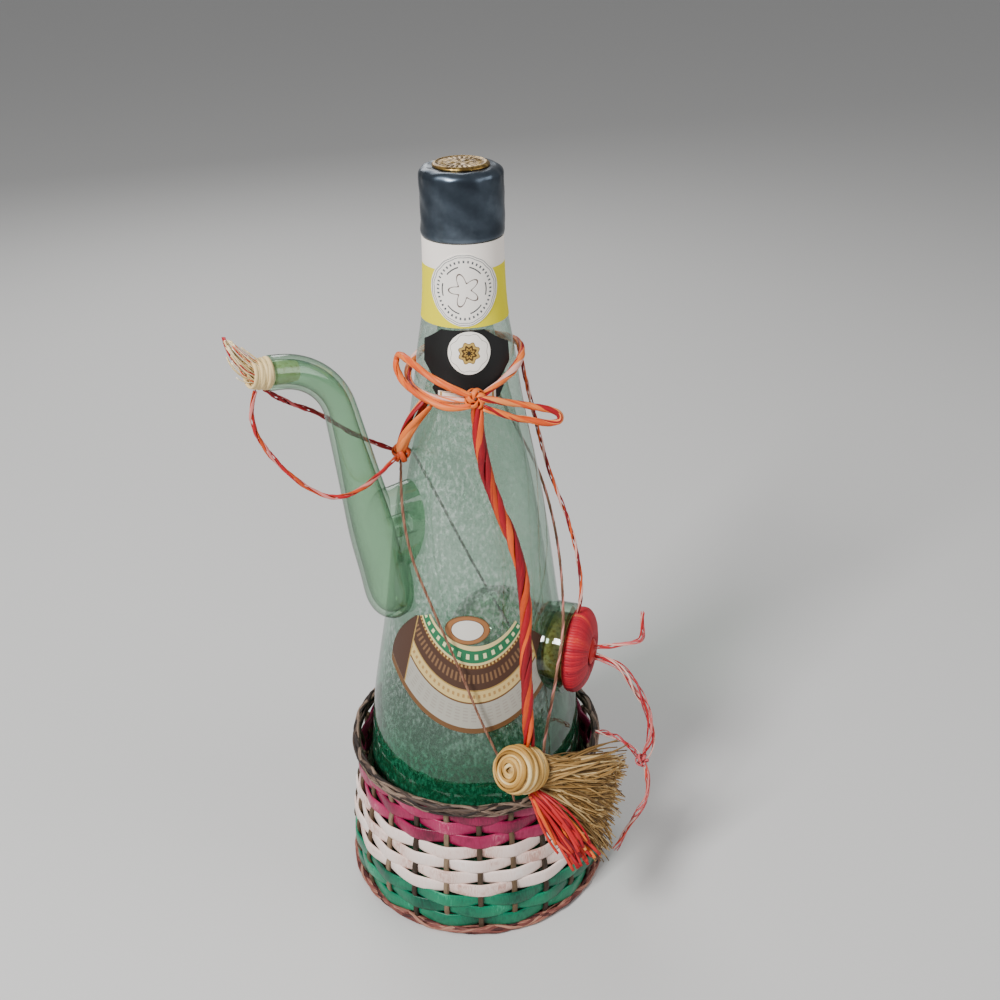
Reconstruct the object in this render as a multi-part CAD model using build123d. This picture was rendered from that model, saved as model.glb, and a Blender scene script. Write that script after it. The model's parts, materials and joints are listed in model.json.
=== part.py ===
from build123d import *
import math
import os

# Straw-cradled glass carafe with a pouring spout and an ice pocket.
# Millimetres. The origin is on the bottle's axis, in the plane that the basket stands on. +Z is up,
# the labels face -Y, the spout leans out at -X and the ice pocket opens at +X.

# ---- basket floor, which the glass stands on
BASE_THICK = 4.0
BASE_OVER = 2.1             # the floor reaches this far past the widest glass

# ---- glass body: radius at a height, from the heel to the mouth
GLASS_BOTTOM = BASE_THICK
GLASS_TOP = 326.0
HEEL_R, HEEL_Z = 45.0, GLASS_BOTTOM
BELLY_LOW_R, BELLY_LOW_Z = 54.2, 21.0
BELLY_MID_R, BELLY_MID_Z = 51.7, 40.0
BELLY_R, BELLY_Z = 48.9, 58.0
WAIST_R, WAIST_Z = 45.4, 94.0
CHEST_R, CHEST_Z = 33.6, GLASS_TOP - 155.0
FLANK_R, FLANK_Z = 38.9, (WAIST_Z + CHEST_Z) / 2 - 0.5
SHOULDER_R, SHOULDER_Z = 27.0, GLASS_TOP - 114.0
THROAT_R, THROAT_Z = 21.6, GLASS_TOP - 86.0
COLLAR_R, COLLAR_Z = 18.4, GLASS_TOP - 64.0
NECK_LOW_R, NECK_LOW_Z = 16.3, GLASS_TOP - 51.0
NECK_R, NECK_Z = 15.1, GLASS_TOP - 25.0
BASE_R = BELLY_LOW_R + BASE_OVER          # of the basket floor
BODY_WALL = 3.0
FLOOR_WALL = 6.0
PUNT_RISE = 9.0
PUNT_R = 30.0
BORE_R = 9.35               # neck bore
BORE_LENGTH = 50.0

# ---- pouring spout, in the vertical plane at SPOUT_AZ; places are (radius, height) in that plane
SPOUT_AZ = 213.0
SPOUT_FOOT_R, SPOUT_FOOT_Z = 37.8, GLASS_TOP - 177.0
SPOUT_BEND_R, SPOUT_BEND_Z = 59.2, GLASS_TOP - 61.4
SPOUT_MOUTH_R, SPOUT_MOUTH_Z = SPOUT_BEND_R + 23.0, SPOUT_BEND_Z + 3.6
SPOUT_BEND_RADIUS = 27.0
SPOUT_BELLY_RADIUS = 10.2
SPOUT_NECK_RADIUS = 6.3
SPOUT_WALL = 1.8
SPOUT_WELD_Z = GLASS_TOP - 136.0
SPOUT_WELD_HALF_HEIGHT = 17.0
SPOUT_WELD_HALF_WIDTH = 10.4
SPOUT_PORT_R = 4.6

# ---- ice pocket, an inner glass bulb that opens sideways; distances run out along its axis
POCKET_AZ = -20.0
POCKET_Z = 124.5
POCKET_BULB_R = 22.0
POCKET_BULB_CENTRE = 12.0
POCKET_NECK_R = 17.0
POCKET_WALL = 2.0
POCKET_COLLAR_R = 19.5
POCKET_COLLAR_END = 44.0

# ---- the pocket's stopper
PLUG_LENGTH = 12.0
PLUG_CLEARANCE = 0.08
CAP_GAP = 0.2               # the wound cap stands this far off the glass collar
CAP_R = 18.7
CAP_BAND = 6.6
CAP_DOME = 4.2
CAP_STRAND = 1.1
CAP_LOOPS = 24
CAP_HUB_R = 5.2

# ---- neck closure
CORK_LENGTH = 45.0
CORK_CLEARANCE = 0.05
NECK_LABEL_LOW, NECK_LABEL_TOP = GLASS_TOP - 53.5, GLASS_TOP - 22.4
SEAL_Z = NECK_LABEL_LOW + 14.25
COLLAR_LABEL_TOP = NECK_LABEL_LOW - 1.0
ROUNDEL_Z = COLLAR_LABEL_TOP - 8.3
CAPSULE_BOTTOM = NECK_LABEL_TOP + 0.2
CAPSULE_WALL = 0.5
CAPSULE_CLEARANCE = 0.08
CAPSULE_TOP = GLASS_TOP + 2.6
CAPSULE_EDGE = 3.0
DISC_R = 10.6
DISC_HEIGHT = 1.3

# ---- spout stopper
STOPPER_IN = 10.0           # the cork's length inside the mouth, tapered where the bore bends
STOPPER_OUT = 3.0
STOPPER_CLEARANCE = 0.06
BINDING_R = 5.2
BINDING_WIDTH = 3.2
STOPPER_TUFT_LENGTH = 15.0
STOPPER_TUFT_RISE = (-1.6, 2.6, 9.7)

# ---- paper labels
PAPER = 0.25
PAPER_OFF = 0.05

# ---- basket, woven round the glass
BORDER_IN, BORDER_WIDTH, BORDER_HEIGHT = BASE_R + 0.1, 4.6, 4.0
STAKE_COUNT = 24
STAKE_D = 2.0
STAKE_OFF = 4.3             # from the glass to the stakes' centres
ROW_PITCH = 6.3
ROW_GAP = 0.4
ROW_THICK = 1.0
ROW_CLEARANCE = 0.55        # room for a leaning stake behind a straight row
ROWS_GREEN, ROWS_WHITE, ROWS_RED = 3, 4, 3
RIM_TUBE = 2.1
RIM_Z = BORDER_HEIGHT + ROW_PITCH * (ROWS_GREEN + ROWS_WHITE + ROWS_RED) + 0.7 + RIM_TUBE
STAKE_END_R, STAKE_END_Z = BELLY_R + STAKE_OFF + 0.2, RIM_Z - RIM_TUBE - 0.1
RIM_R = STAKE_END_R + 2.0

# ---- raffia and cords
TIE_D = 3.0
TIE_OFF = 3.3               # centre line's distance from the glass
LOOP_D = 2.4
KNOT_R = 3.9
SIDE_KNOT_R = 4.0
ROPE_D = 4.6
BUNDLE_D = 5.0
STAY_D = 1.6
TETHER_D = 2.2
CAP_CORD_D = 2.0
BUNCH_D = 4.0
BRANCH_D = 2.8
CUT_END_D = 2.4
BUNCH_KNOT_R = 3.0

# ---- tassel
HEAD_CENTRE = (18.5, -58.5, 95.3)
HEAD_AXIS = (0.653, 0.612, -0.474)      # from the wound end back into the skirt
HEAD_LENGTH = 15.0
HEAD_FRONT_R, HEAD_BACK_R = 8.6, 7.8    # the core, under the straw turns
HEAD_STRAND = 1.3
HEAD_PITCH = 1.9
SKIRT_R = 8.2
SKIRT_STRANDS = 260
STRAND_R = 0.36

os.makedirs("parts", exist_ok=True)


def polar(radius, azimuth, height=0.0):
    """The point at a radius, an azimuth in degrees and a height."""
    a = math.radians(azimuth)
    return Vector(radius * math.cos(a), radius * math.sin(a), height)


def save(name, solid):
    """Write one node."""
    export_step(solid, "parts/" + name + ".step")


def lathe(points, curve=True):
    """Turn a profile of (radius, height) about the upright axis, closed along that axis."""
    side = Spline(*points) if curve else Polyline(*points)
    low, high = side @ 0, side @ 1
    edges = [side]
    if high.X > 0:
        edges.append(Line(high, (0, high.Y)))
    if low.X > 0:
        edges.append(Line((0, low.Y), low))
    edges.append(Line((0, high.Y), (0, low.Y)))
    face = make_face(Curve() + edges)
    return revolve(Plane.XZ * face, Axis.Z, 360)


def rod(radius, start, length):
    """An upright round rod from a height."""
    return Pos(0, 0, start) * Cylinder(radius, length, align=(Align.CENTER, Align.CENTER, Align.MIN))


def cord(name, points, diameter):
    """A tube along straight runs joined by tangent arcs, each as large as its two runs allow."""
    places = [Vector(*p) for p in points]
    radii = []
    for a, b, c in zip(places, places[1:], places[2:]):
        turn = math.radians((b - a).get_angle(c - b))
        shorter = min((b - a).length, (c - b).length)
        radii.append(0.45 * shorter / math.tan(turn / 2))
    path = FilletPolyline(*places, radius=radii)
    tube = sweep(Plane(origin=path @ 0, z_dir=path % 0) * Circle(diameter / 2), path=path)
    length = sum(e.length for e in path.edges())
    ratio = tube.volume / (math.pi * diameter ** 2 / 4 * length)
    print(f"{name}: length {length:.1f}, volume ratio {ratio:.4f}, radii "
          + " ".join(f"{r:.1f}" for r in radii))
    save(name, tube)
    return tube


def wound(places, directions, diameter, steps_apart):
    """One unbroken tube through points with their directions, two tangent arcs between each pair."""
    edges = []
    for p, q, s, t in zip(places, places[1:], directions, directions[1:]):
        across = q - p
        both = s + t
        a = 2 * (s.dot(t) - 1)
        b = -2 * across.dot(both)
        c = across.dot(across)
        reach = c / -b if abs(a) < 1e-9 else (-b - math.sqrt(b * b - 4 * a * c)) / (2 * a)
        middle = (p + s * reach + q - t * reach) * 0.5
        edges.append(TangentArc(p, middle, tangent=s))
        edges.append(TangentArc(middle, q, tangent=edges[-1] % 1))
    path = Wire(edges)
    count = len(edges)
    samples = [path @ (i / (4 * count)) for i in range(4 * count + 1)]
    near = min((samples[i] - samples[j]).length for i in range(len(samples))
               for j in range(i + steps_apart * 4, len(samples), 1))
    print(f"winding of {diameter} mm: {path.length:.0f} mm long, least gap to itself {near - diameter:.2f}")
    return sweep(Plane(origin=path @ 0, z_dir=path % 0) * Circle(diameter / 2), path=path)


def brush(centre, axis, radius, tip, along, across, count, slice_thickness, strand=STRAND_R):
    """Straight three-sided strands from a round slice, spread evenly towards a flat fan of tips."""
    n = Vector(*axis).normalized()
    plane = Plane(origin=centre, z_dir=n)
    goal, e1, e2 = Vector(*tip), Vector(*along), Vector(*across)
    slab = plane * rod(radius + 0.6, -slice_thickness, slice_thickness)
    u_dir = (e1 - n * e1.dot(n)).normalized()
    v_dir = n.cross(u_dir)
    if v_dir.dot(e2) < 0:
        v_dir = v_dir * -1
    strands = []
    for i in range(count):
        # an even spread over the disc, turned by the golden angle from one strand to the next
        r = math.sqrt((i + 0.5) / count)
        a = i * 2.399963
        u, v = r * math.cos(a), r * math.sin(a)
        root = plane.origin + u_dir * (u * radius) + v_dir * (v * radius) - n * 0.4
        end = goal + e1 * u + e2 * v
        reach = 0.9 + 0.1 * math.sin(12.9898 * i) * math.cos(4.1 * i)
        corners = [root + (u_dir * math.cos(k) + v_dir * math.sin(k)) * strand
                   for k in (0.0 + i, 2.0944 + i, 4.18879 + i)]
        face = Face(Wire.make_polygon(corners, close=True))
        strands.append(Solid.extrude(face, (end - root) * reach))
    return slab.solid().fuse(*strands)


# The glass profile, once, for the body and for everything that lies on it.
GLASS_PROFILE = [
    (HEEL_R, HEEL_Z), (BELLY_LOW_R, BELLY_LOW_Z), (BELLY_MID_R, BELLY_MID_Z), (BELLY_R, BELLY_Z),
    (WAIST_R, WAIST_Z), (FLANK_R, FLANK_Z), (CHEST_R, CHEST_Z), (SHOULDER_R, SHOULDER_Z),
    (THROAT_R, THROAT_Z), (COLLAR_R, COLLAR_Z), (NECK_LOW_R, NECK_LOW_Z), (NECK_R, NECK_Z),
    (NECK_R, GLASS_TOP),
]


def glass_radius(height):
    """The glass's outer radius at a height, straight between the named heights."""
    for (r0, z0), (r1, z1) in zip(GLASS_PROFILE, GLASS_PROFILE[1:]):
        if height <= z1:
            return r0 + (r1 - r0) * (height - z0) / (z1 - z0)
    return NECK_R


def glass_shape(offset):
    """The solid inside the glass's outer surface, grown by an offset."""
    side = Spline(*[(r + offset, z) for r, z in GLASS_PROFILE[:-1]],
                  tangents=((0.9, 1.0), (0, 1)), tangent_scalars=(0.5, 0.1))
    neck = Line(side @ 1, (NECK_R + offset, GLASS_TOP))
    face = make_face(Curve() + [
        Line((0, GLASS_BOTTOM), side @ 0), side, neck, Line(neck @ 1, (0, GLASS_TOP)),
        Line((0, GLASS_TOP), (0, GLASS_BOTTOM))])
    return revolve(Plane.XZ * face, Axis.Z, 360)


outer_glass = glass_shape(0)

# Inside of the bottle: an even wall, a thick floor with a punt, and a straight bore in the neck.
bore_low = GLASS_TOP - BORE_LENGTH
inner_side = Spline(
    (BELLY_LOW_R - BODY_WALL - 5.4, GLASS_BOTTOM + FLOOR_WALL + 1.0),
    (BELLY_LOW_R - BODY_WALL, BELLY_LOW_Z + 3), (BELLY_MID_R - BODY_WALL, BELLY_MID_Z),
    (BELLY_R - BODY_WALL, BELLY_Z), (WAIST_R - BODY_WALL, WAIST_Z), (FLANK_R - BODY_WALL, FLANK_Z),
    (CHEST_R - BODY_WALL, CHEST_Z), (SHOULDER_R - BODY_WALL - 0.4, SHOULDER_Z),
    (THROAT_R - BODY_WALL - 1.6, THROAT_Z), (BORE_R, bore_low),
    tangents=((0.8, 1.0), (0, 1)), tangent_scalars=(0.3, 0.3))
punt_top = GLASS_BOTTOM + FLOOR_WALL + PUNT_RISE
inner_face = make_face(Curve() + [
    inner_side, Line((BORE_R, bore_low), (BORE_R, GLASS_TOP + 1)),
    Line((BORE_R, GLASS_TOP + 1), (0, GLASS_TOP + 1)),
    Line((0, GLASS_TOP + 1), (0, punt_top)), Line((0, punt_top), (PUNT_R, GLASS_BOTTOM + FLOOR_WALL)),
    Line((PUNT_R, GLASS_BOTTOM + FLOOR_WALL), inner_side @ 0)])
inside = revolve(Plane.XZ * inner_face, Axis.Z, 360)
punt = Pos(0, 0, GLASS_BOTTOM) * Cone(PUNT_R, 1.0, PUNT_RISE, align=(Align.CENTER, Align.CENTER, Align.MIN))

# Spout: a horn turned about its straight lower part, then a bent tube to the mouth.
foot = Vector(SPOUT_FOOT_R, SPOUT_FOOT_Z)
bend = Vector(SPOUT_BEND_R, SPOUT_BEND_Z)
mouth = Vector(SPOUT_MOUTH_R, SPOUT_MOUTH_Z)
spout_turn = math.radians((bend - foot).get_angle(mouth - bend))
bend_reach = SPOUT_BEND_RADIUS * math.tan(spout_turn / 2)
horn_length = (bend - foot).length - bend_reach
foot_at = polar(SPOUT_FOOT_R, SPOUT_AZ, SPOUT_FOOT_Z)
mouth_at = polar(SPOUT_MOUTH_R, SPOUT_AZ, SPOUT_MOUTH_Z)
bend_at = polar(SPOUT_BEND_R, SPOUT_AZ, SPOUT_BEND_Z)
horn_dir = (bend_at - foot_at).normalized()
mouth_dir = (mouth_at - bend_at).normalized()
horn_plane = Plane(origin=foot_at, z_dir=horn_dir)
mouth_plane = Plane(origin=mouth_at, z_dir=mouth_dir)


def horn(shrink, start, end_past):
    """The spout's outer shape, or its bore when shrunk by the wall and started higher up."""
    belly, neck = SPOUT_BELLY_RADIUS - shrink, SPOUT_NECK_RADIUS - shrink
    low = horn_plane * lathe([
        (0, start), (belly * 0.62, start + 2.6), (belly * 0.95, start + 9), (belly, start + 20),
        (belly * 0.98, horn_length * 0.42), (belly * 0.86 + neck * 0.02, horn_length * 0.6),
        (belly * 0.25 + neck * 0.8, horn_length * 0.8), (neck * 1.02, horn_length)])
    bend_start = foot_at + horn_dir * (horn_length - 0.5)
    path = FilletPolyline(bend_start, bend_at, mouth_at + mouth_dir * end_past, radius=SPOUT_BEND_RADIUS)
    high = sweep(Plane(origin=path @ 0, z_dir=path % 0) * Circle(neck), path=path)
    return low + high


spout_lean = (SPOUT_BEND_R - SPOUT_FOOT_R) / (SPOUT_BEND_Z - SPOUT_FOOT_Z)
weld_r = SPOUT_FOOT_R + (SPOUT_WELD_Z - SPOUT_FOOT_Z) * spout_lean
weld_plane = Plane(origin=(0, 0, SPOUT_WELD_Z), x_dir=(0, 0, 1), z_dir=polar(1, SPOUT_AZ))
weld = weld_plane * Pos(0, 0, 20) * extrude(
    Ellipse(SPOUT_WELD_HALF_HEIGHT + 2, SPOUT_WELD_HALF_WIDTH + 1), weld_r - 20, taper=3.5)
port = weld_plane * rod(SPOUT_PORT_R, 15, weld_r - 15)
spout = horn(0, 0, 0) + weld - outer_glass - horn(SPOUT_WALL, SPOUT_WALL + 0.6, 1) - port

# Ice pocket: bulb, neck and outer collar about a level axis.
pocket_bore_r = POCKET_NECK_R - POCKET_WALL
pocket_plane = Plane(origin=(0, 0, POCKET_Z), x_dir=(0, 0, 1), z_dir=polar(1, POCKET_AZ))
pocket_neck = rod(POCKET_NECK_R, POCKET_BULB_CENTRE, POCKET_COLLAR_END - POCKET_BULB_CENTRE)
pocket_bore = rod(pocket_bore_r, POCKET_BULB_CENTRE, POCKET_COLLAR_END + 1 - POCKET_BULB_CENTRE)
collar = pocket_plane * rod(POCKET_COLLAR_R, 25, POCKET_COLLAR_END - 25) - outer_glass
pocket = pocket_plane * (pocket_neck + Pos(0, 0, POCKET_BULB_CENTRE) * Sphere(POCKET_BULB_R))
pocket = pocket + collar - pocket_plane * (
    pocket_bore + Pos(0, 0, POCKET_BULB_CENTRE) * Sphere(POCKET_BULB_R - POCKET_WALL))
wall_hole = pocket_plane * rod(POCKET_NECK_R, POCKET_BULB_CENTRE, 60)

wine_space = inside & rod(200, 0, GLASS_TOP)
bottle = outer_glass - inside - punt - port - wall_hole
save("glass_bottle", bottle)
save("pouring_spout", spout)
save("ice_pocket", pocket)
pocket_in = pocket_plane * (rod(POCKET_NECK_R, POCKET_BULB_CENTRE, 30)
                            + Pos(0, 0, POCKET_BULB_CENTRE) * Sphere(POCKET_BULB_R))
print(f"brimful volume {(wine_space - pocket_in).volume / 1000:.0f} ml")

# ---- pocket stopper: cork plug, wound straw ring over a core, and the bound middle
cap_back = POCKET_COLLAR_END + CAP_GAP
plug_r = pocket_bore_r - PLUG_CLEARANCE
save("pocket_plug", pocket_plane * rod(plug_r, cap_back - PLUG_LENGTH, PLUG_LENGTH))
half = CAP_STRAND / 2
ring_out, ring_in = CAP_R - half, CAP_HUB_R + half + 0.55
ring_mid = (ring_out + ring_in) / 2
band_mid = cap_back + half + CAP_BAND / 2 - 0.4
around = []
heading = []
for i in range(4 * CAP_LOOPS - 3):
    turn = 2 * math.pi * i / (4 * CAP_LOOPS)
    out = Vector(math.cos(turn), math.sin(turn), 0)
    side = Vector(-math.sin(turn), math.cos(turn), 0)
    radius, height, d_out, d_up = [
        (ring_out, band_mid, 0.0, 1.0),
        (ring_mid, cap_back + CAP_BAND + CAP_DOME * 0.45, -1.0, 0.28),
        (ring_in, band_mid + CAP_DOME * 0.5, 0.0, -1.0),
        (ring_mid, cap_back + half, 1.0, 0.0)][i % 4]
    around.append(out * radius + Vector(0, 0, height))
    lean = radius * 2 * math.pi / CAP_LOOPS / 28
    heading.append((out * d_out + Vector(0, 0, d_up) + side * lean).normalized())
save("cap_winding", pocket_plane * wound(around, heading, CAP_STRAND, 7))
core_low, core_high = cap_back + CAP_STRAND + 0.9, cap_back + CAP_BAND - 1.2
save("cap_core", pocket_plane * (lathe([
    (ring_out - half - 2.6, core_low), (ring_out - half - 0.9, (core_low + core_high) / 2),
    (ring_out - half - 2.2, core_high), (ring_in + 3.4, core_high + 1.2)], curve=False)
    - rod(ring_in + 3.2, core_low - 5, 30)))
hub_top = cap_back + CAP_BAND + CAP_DOME
save("cap_button", pocket_plane * lathe([
    (CAP_HUB_R, cap_back), (CAP_HUB_R, hub_top - 3.5), (CAP_HUB_R * 0.8, hub_top - 1.5),
    (CAP_HUB_R * 0.4, hub_top - 0.3), (0, hub_top)], curve=False))

# ---- neck closure: cork, capsule sleeve and the stamped disc on it
save("neck_cork", rod(BORE_R - CORK_CLEARANCE, GLASS_TOP - CORK_LENGTH + 2, CORK_LENGTH - 2))
capsule_in = NECK_R + CAPSULE_CLEARANCE
capsule_out = capsule_in + CAPSULE_WALL
shell = lathe([
    (capsule_out, CAPSULE_BOTTOM), (capsule_out, CAPSULE_TOP - CAPSULE_EDGE),
    (capsule_out - CAPSULE_EDGE * 0.3, CAPSULE_TOP - CAPSULE_EDGE * 0.3),
    (capsule_out - CAPSULE_EDGE, CAPSULE_TOP)], curve=False)
save("capsule", shell - rod(capsule_in, CAPSULE_BOTTOM - 1, GLASS_TOP + 0.05 - CAPSULE_BOTTOM + 1))
save("capsule_disc", rod(DISC_R, CAPSULE_TOP, DISC_HEIGHT - 0.5)
     + rod(DISC_R - 1.0, CAPSULE_TOP, DISC_HEIGHT))

# ---- spout stopper: cork, raffia binding and a straw tuft
stop_r = SPOUT_NECK_RADIUS - SPOUT_WALL - STOPPER_CLEARANCE
mouth_straight = min((mouth - bend).length - bend_reach, STOPPER_IN)
drift = SPOUT_BEND_RADIUS - math.sqrt(SPOUT_BEND_RADIUS ** 2 - (STOPPER_IN - mouth_straight) ** 2)
save("spout_cork", mouth_plane * lathe([
    (stop_r - drift - 0.2, -STOPPER_IN), (stop_r, 0.2 - mouth_straight),
    (stop_r, STOPPER_OUT)], curve=False))
binding = mouth_plane * (rod(BINDING_R, 0.3 + STOPPER_OUT, BINDING_WIDTH)
                         - rod(stop_r - 0.4, STOPPER_OUT - 1, 10))
save("stopper_binding", binding)
tuft_base = mouth_at + mouth_dir * (STOPPER_OUT + 2.4)
tuft_side = polar(4.0, SPOUT_AZ - 90)
save("stopper_tuft", brush(
    tuft_base, mouth_dir, stop_r - 1.8,
    tuft_base + mouth_dir * STOPPER_TUFT_LENGTH + Vector(*STOPPER_TUFT_RISE),
    (0, 0, 4.0), tuft_side, 36, 2.3))


def paper(cutter, layer=0):
    """The sheet of paper on the glass inside a cutting shape; each layer lies over the one before."""
    low = PAPER_OFF + layer * (PAPER + 0.02)
    return (cutter & glass_shape(low + PAPER)) - glass_shape(low)


def stamped(outline, layer=0):
    """A paper label with this outline when seen from the front."""
    return paper(extrude(Plane.XZ.offset(5) * outline, 60), layer)


def outline(*edges):
    """A flat face inside a closed run of edges."""
    return make_face(Curve() + list(edges))


# ---- labels
save("neck_label", paper(rod(NECK_R + 10, NECK_LABEL_LOW, NECK_LABEL_TOP - NECK_LABEL_LOW)))
save("neck_seal", stamped(Pos(0, SEAL_Z) * Ellipse(12.2, 13.6), 1))
save("collar_label", stamped(Pos(0, COLLAR_LABEL_TOP) * outline(Polyline(
    (-9, 0), (7, 0), (16.2, -7.5), (16.6, -14.5), (12.5, -20), (14.2, -22.9),
    (12.2, -26.7), (-11, -26.7), (-13.2, -22.9), (-11.5, -20), (-16.0, -13.5), (-15.6, -5.5),
    (-9, 0)))))
save("collar_seal", stamped(Pos(1.2, ROUNDEL_Z) * Circle(8.0), 1))
crescent = outline(
    ThreePointArc((-35.2, 125), (-31.5, 140), (-23.6, 152)), Line((-23.6, 152), (-17.2, 155)),
    ThreePointArc((-17.2, 155), (-1.5, 142.8), (17.2, 151)), Line((17.2, 151), (20.5, 147)),
    ThreePointArc((20.5, 147), (28.5, 138.5), (33.8, 124)),
    ThreePointArc((33.8, 124), (0.5, 103), (-35.2, 125)))
save("body_label", stamped(crescent) - pocket_plane * rod(POCKET_COLLAR_R + 0.3, 15, 60))
save("vintage_label", stamped(Pos(-2.4, 150.2) * Ellipse(9.2, 6.4), 1))

# ---- basket: floor, foot border, stakes, three bands of woven rows and the twisted rim
save("basket_base", rod(BASE_R, 0, BASE_THICK))
border = rod(BORDER_IN + BORDER_WIDTH, 0, BORDER_HEIGHT)
border = fillet(border.edges().sort_by(Axis.Z)[-1], 1.4)
save("basket_foot_border", border - rod(BORDER_IN, -1, BORDER_HEIGHT + 2))
STAKE_LINE = [
    (BORDER_IN + STAKE_D / 2 + 0.5, BORDER_HEIGHT + 0.2), (BELLY_LOW_R + STAKE_OFF, BELLY_LOW_Z),
    (BELLY_MID_R + STAKE_OFF, BELLY_MID_Z), (BELLY_R + STAKE_OFF, BELLY_Z), (STAKE_END_R, STAKE_END_Z)]
stake_path = FilletPolyline(*[(r, 0, z) for r, z in STAKE_LINE], radius=20)
stake = sweep(Plane(origin=stake_path @ 0, z_dir=stake_path % 0) * Circle(STAKE_D / 2), path=stake_path)
stakes = [Rot(0, 0, 360 / STAKE_COUNT * i) * stake for i in range(STAKE_COUNT)]
save("basket_stakes", Compound(children=[s.solid() for s in stakes]))


def stake_radius(height):
    """The radius of the stakes' centres at a height."""
    for (r0, z0), (r1, z1) in zip(STAKE_LINE, STAKE_LINE[1:]):
        if height <= z1:
            return r0 + (r1 - r0) * (height - z0) / (z1 - z0)
    return STAKE_END_R


def woven_rows(name, first, count):
    """Flat cane rows that pass before one stake and behind the next, turned about from row to row."""
    swing = STAKE_D / 2 + ROW_THICK / 2 + ROW_CLEARANCE
    rows = []
    for row in range(first, first + count):
        low = BORDER_HEIGHT + ROW_PITCH * row + ROW_GAP
        middle = stake_radius(low + (ROW_PITCH - ROW_GAP) / 2)
        faces = []
        for edge in (ROW_THICK / 2, -ROW_THICK / 2):
            ring = []
            for i in range(2 * STAKE_COUNT):
                wave = math.cos(math.pi * i / 2) * (1 if row % 2 else -1)
                ring.append(polar(middle + swing * wave + edge, 360 / (2 * STAKE_COUNT) * i, low))
            faces.append(make_face(Spline(*ring, periodic=True)))
        rows.append(extrude(faces[0] - faces[1], ROW_PITCH - ROW_GAP, dir=(0, 0, 1)).solid())
    save(name, Compound(children=rows))


woven_rows("basket_weave_green", 0, ROWS_GREEN)
woven_rows("basket_weave_white", ROWS_GREEN, ROWS_WHITE)
woven_rows("basket_weave_red", ROWS_GREEN + ROWS_WHITE, ROWS_RED)
save("basket_rim", Pos(0, 0, RIM_Z) * Torus(RIM_R, RIM_TUBE))

# ---- raffia at the neck: one wrap, two flat loops and the knots
TIE_COURSE = [
    (-78, 247.6), (-52, 252.0), (-26, 255.5), (2, 257.6), (30, 257.2), (60, 256.6), (90, 255.8),
    (120, 254.2), (150, 251.5), (180, 248.8), (208, 246.2), (236, 245.8), (262, 246.2), (276, 247.0)]
knot_at = Vector(3.0, -(glass_radius(247.5) + TIE_OFF + 1.2), 247.5)
save("tie_knot", Pos(*knot_at) * Sphere(KNOT_R))
cord("neck_tie_wrap", [polar(glass_radius(z) + TIE_OFF, a, z) for a, z in TIE_COURSE], TIE_D)
cord("tie_left_loop", [
    (1.6, -26.4, 249.4), (-6.5, -25.4, 252.4), (-14.4, -21.6, 255.8), (-21.2, -13.6, 258.4),
    (-25.4, -5.8, 258.6), (-27.0, -2.2, 255.6), (-27.2, -5.4, 252.2), (-23.6, -14.8, 249.4),
    (-15.6, -23.4, 246.9), (-7.0, -27.3, 244.1), (1.4, -27.4, 245.8)], LOOP_D)
cord("tie_right_loop", [
    (4.6, -26.6, 248.4), (12.5, -25.6, 246.6), (22.5, -23.4, 243.6), (30.4, -22.4, 241.4),
    (35.0, -22.2, 239.4), (35.6, -22.8, 236.4), (31.6, -23.6, 235.8), (24.0, -25.2, 238.0),
    (15.0, -26.6, 240.6), (6.0, -27.0, 244.6)], LOOP_D)

# ---- strands from the tie to the side knot, and the cords that leave it
SIDE_KNOT = (-26.4, -16.6, 221.7)
save("side_knot", Pos(*SIDE_KNOT) * Sphere(SIDE_KNOT_R))
cord("knot_bundle", [
    (-15.0, -18.9, 244.0), (-20.4, -20.8, 238.2), (-24.4, -19.4, 230.4), (-26.2, -17.0, 223.4)], BUNDLE_D)
cord("front_stay", [
    (-26.6, -18.2, 219.6), (-26.8, -23.5, 212.1), (-26.3, -30.5, 199.2), (-23.5, -33.2, 182.3),
    (-18.9, -35.6, 169.3), (-13.4, -38.8, 154.3), (-5.9, -43.0, 134.9), (1.7, -47.2, 112.7),
    (7.8, -49.6, 98.0), (12.6, -51.2, 84.5), (15.8, -53.2, 71.4)], STAY_D)
cord("back_stay", [
    (-28.6, -14.4, 220.2), (-30.8, -4.6, 217.2), (-29.2, 8.0, 212.6), (-24.2, 20.6, 204.6),
    (-19.6, 27.9, 189.5), (-13.6, 34.4, 171.8), (-5.4, 39.8, 148.6), (4.4, 44.0, 123.6),
    (13.6, 46.2, 103.0), (21.0, 48.6, 86.0), (25.8, 48.8, 71.4)], STAY_D)
cord("right_stay", [
    (3.4, 22.6, 254.8), (6.6, 24.6, 244.0), (12.4, 26.4, 229.0), (20.4, 23.4, 212.4), (28.2, 15.9, 199.4),
    (33.4, 6.4, 186.4), (37.0, -4.6, 169.0), (38.0, -19.0, 152.6), (37.0, -30.0, 140.4),
    (34.4, -35.8, 129.6), (32.4, -38.2, 115.0), (29.8, -39.6, 101.0), (28.4, -41.2, 88.0),
    (28.6, -43.6, 78.8), (29.9, -46.9, 71.4)], STAY_D)
cord("cap_cord", [
    (20.6, 9.8, 256.0), (23.0, 11.8, 244.0), (26.0, 12.2, 229.6), (29.2, 9.2, 216.0), (32.2, 4.2, 204.6),
    (35.8, -0.8, 195.2), (40.0, -5.0, 184.8), (43.6, -9.6, 172.6), (45.7, -13.4, 159.6),
    (45.8, -15.9, 150.2), (44.6, -16.6, POCKET_Z + CAP_R + 0.4)], CAP_CORD_D)

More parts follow.
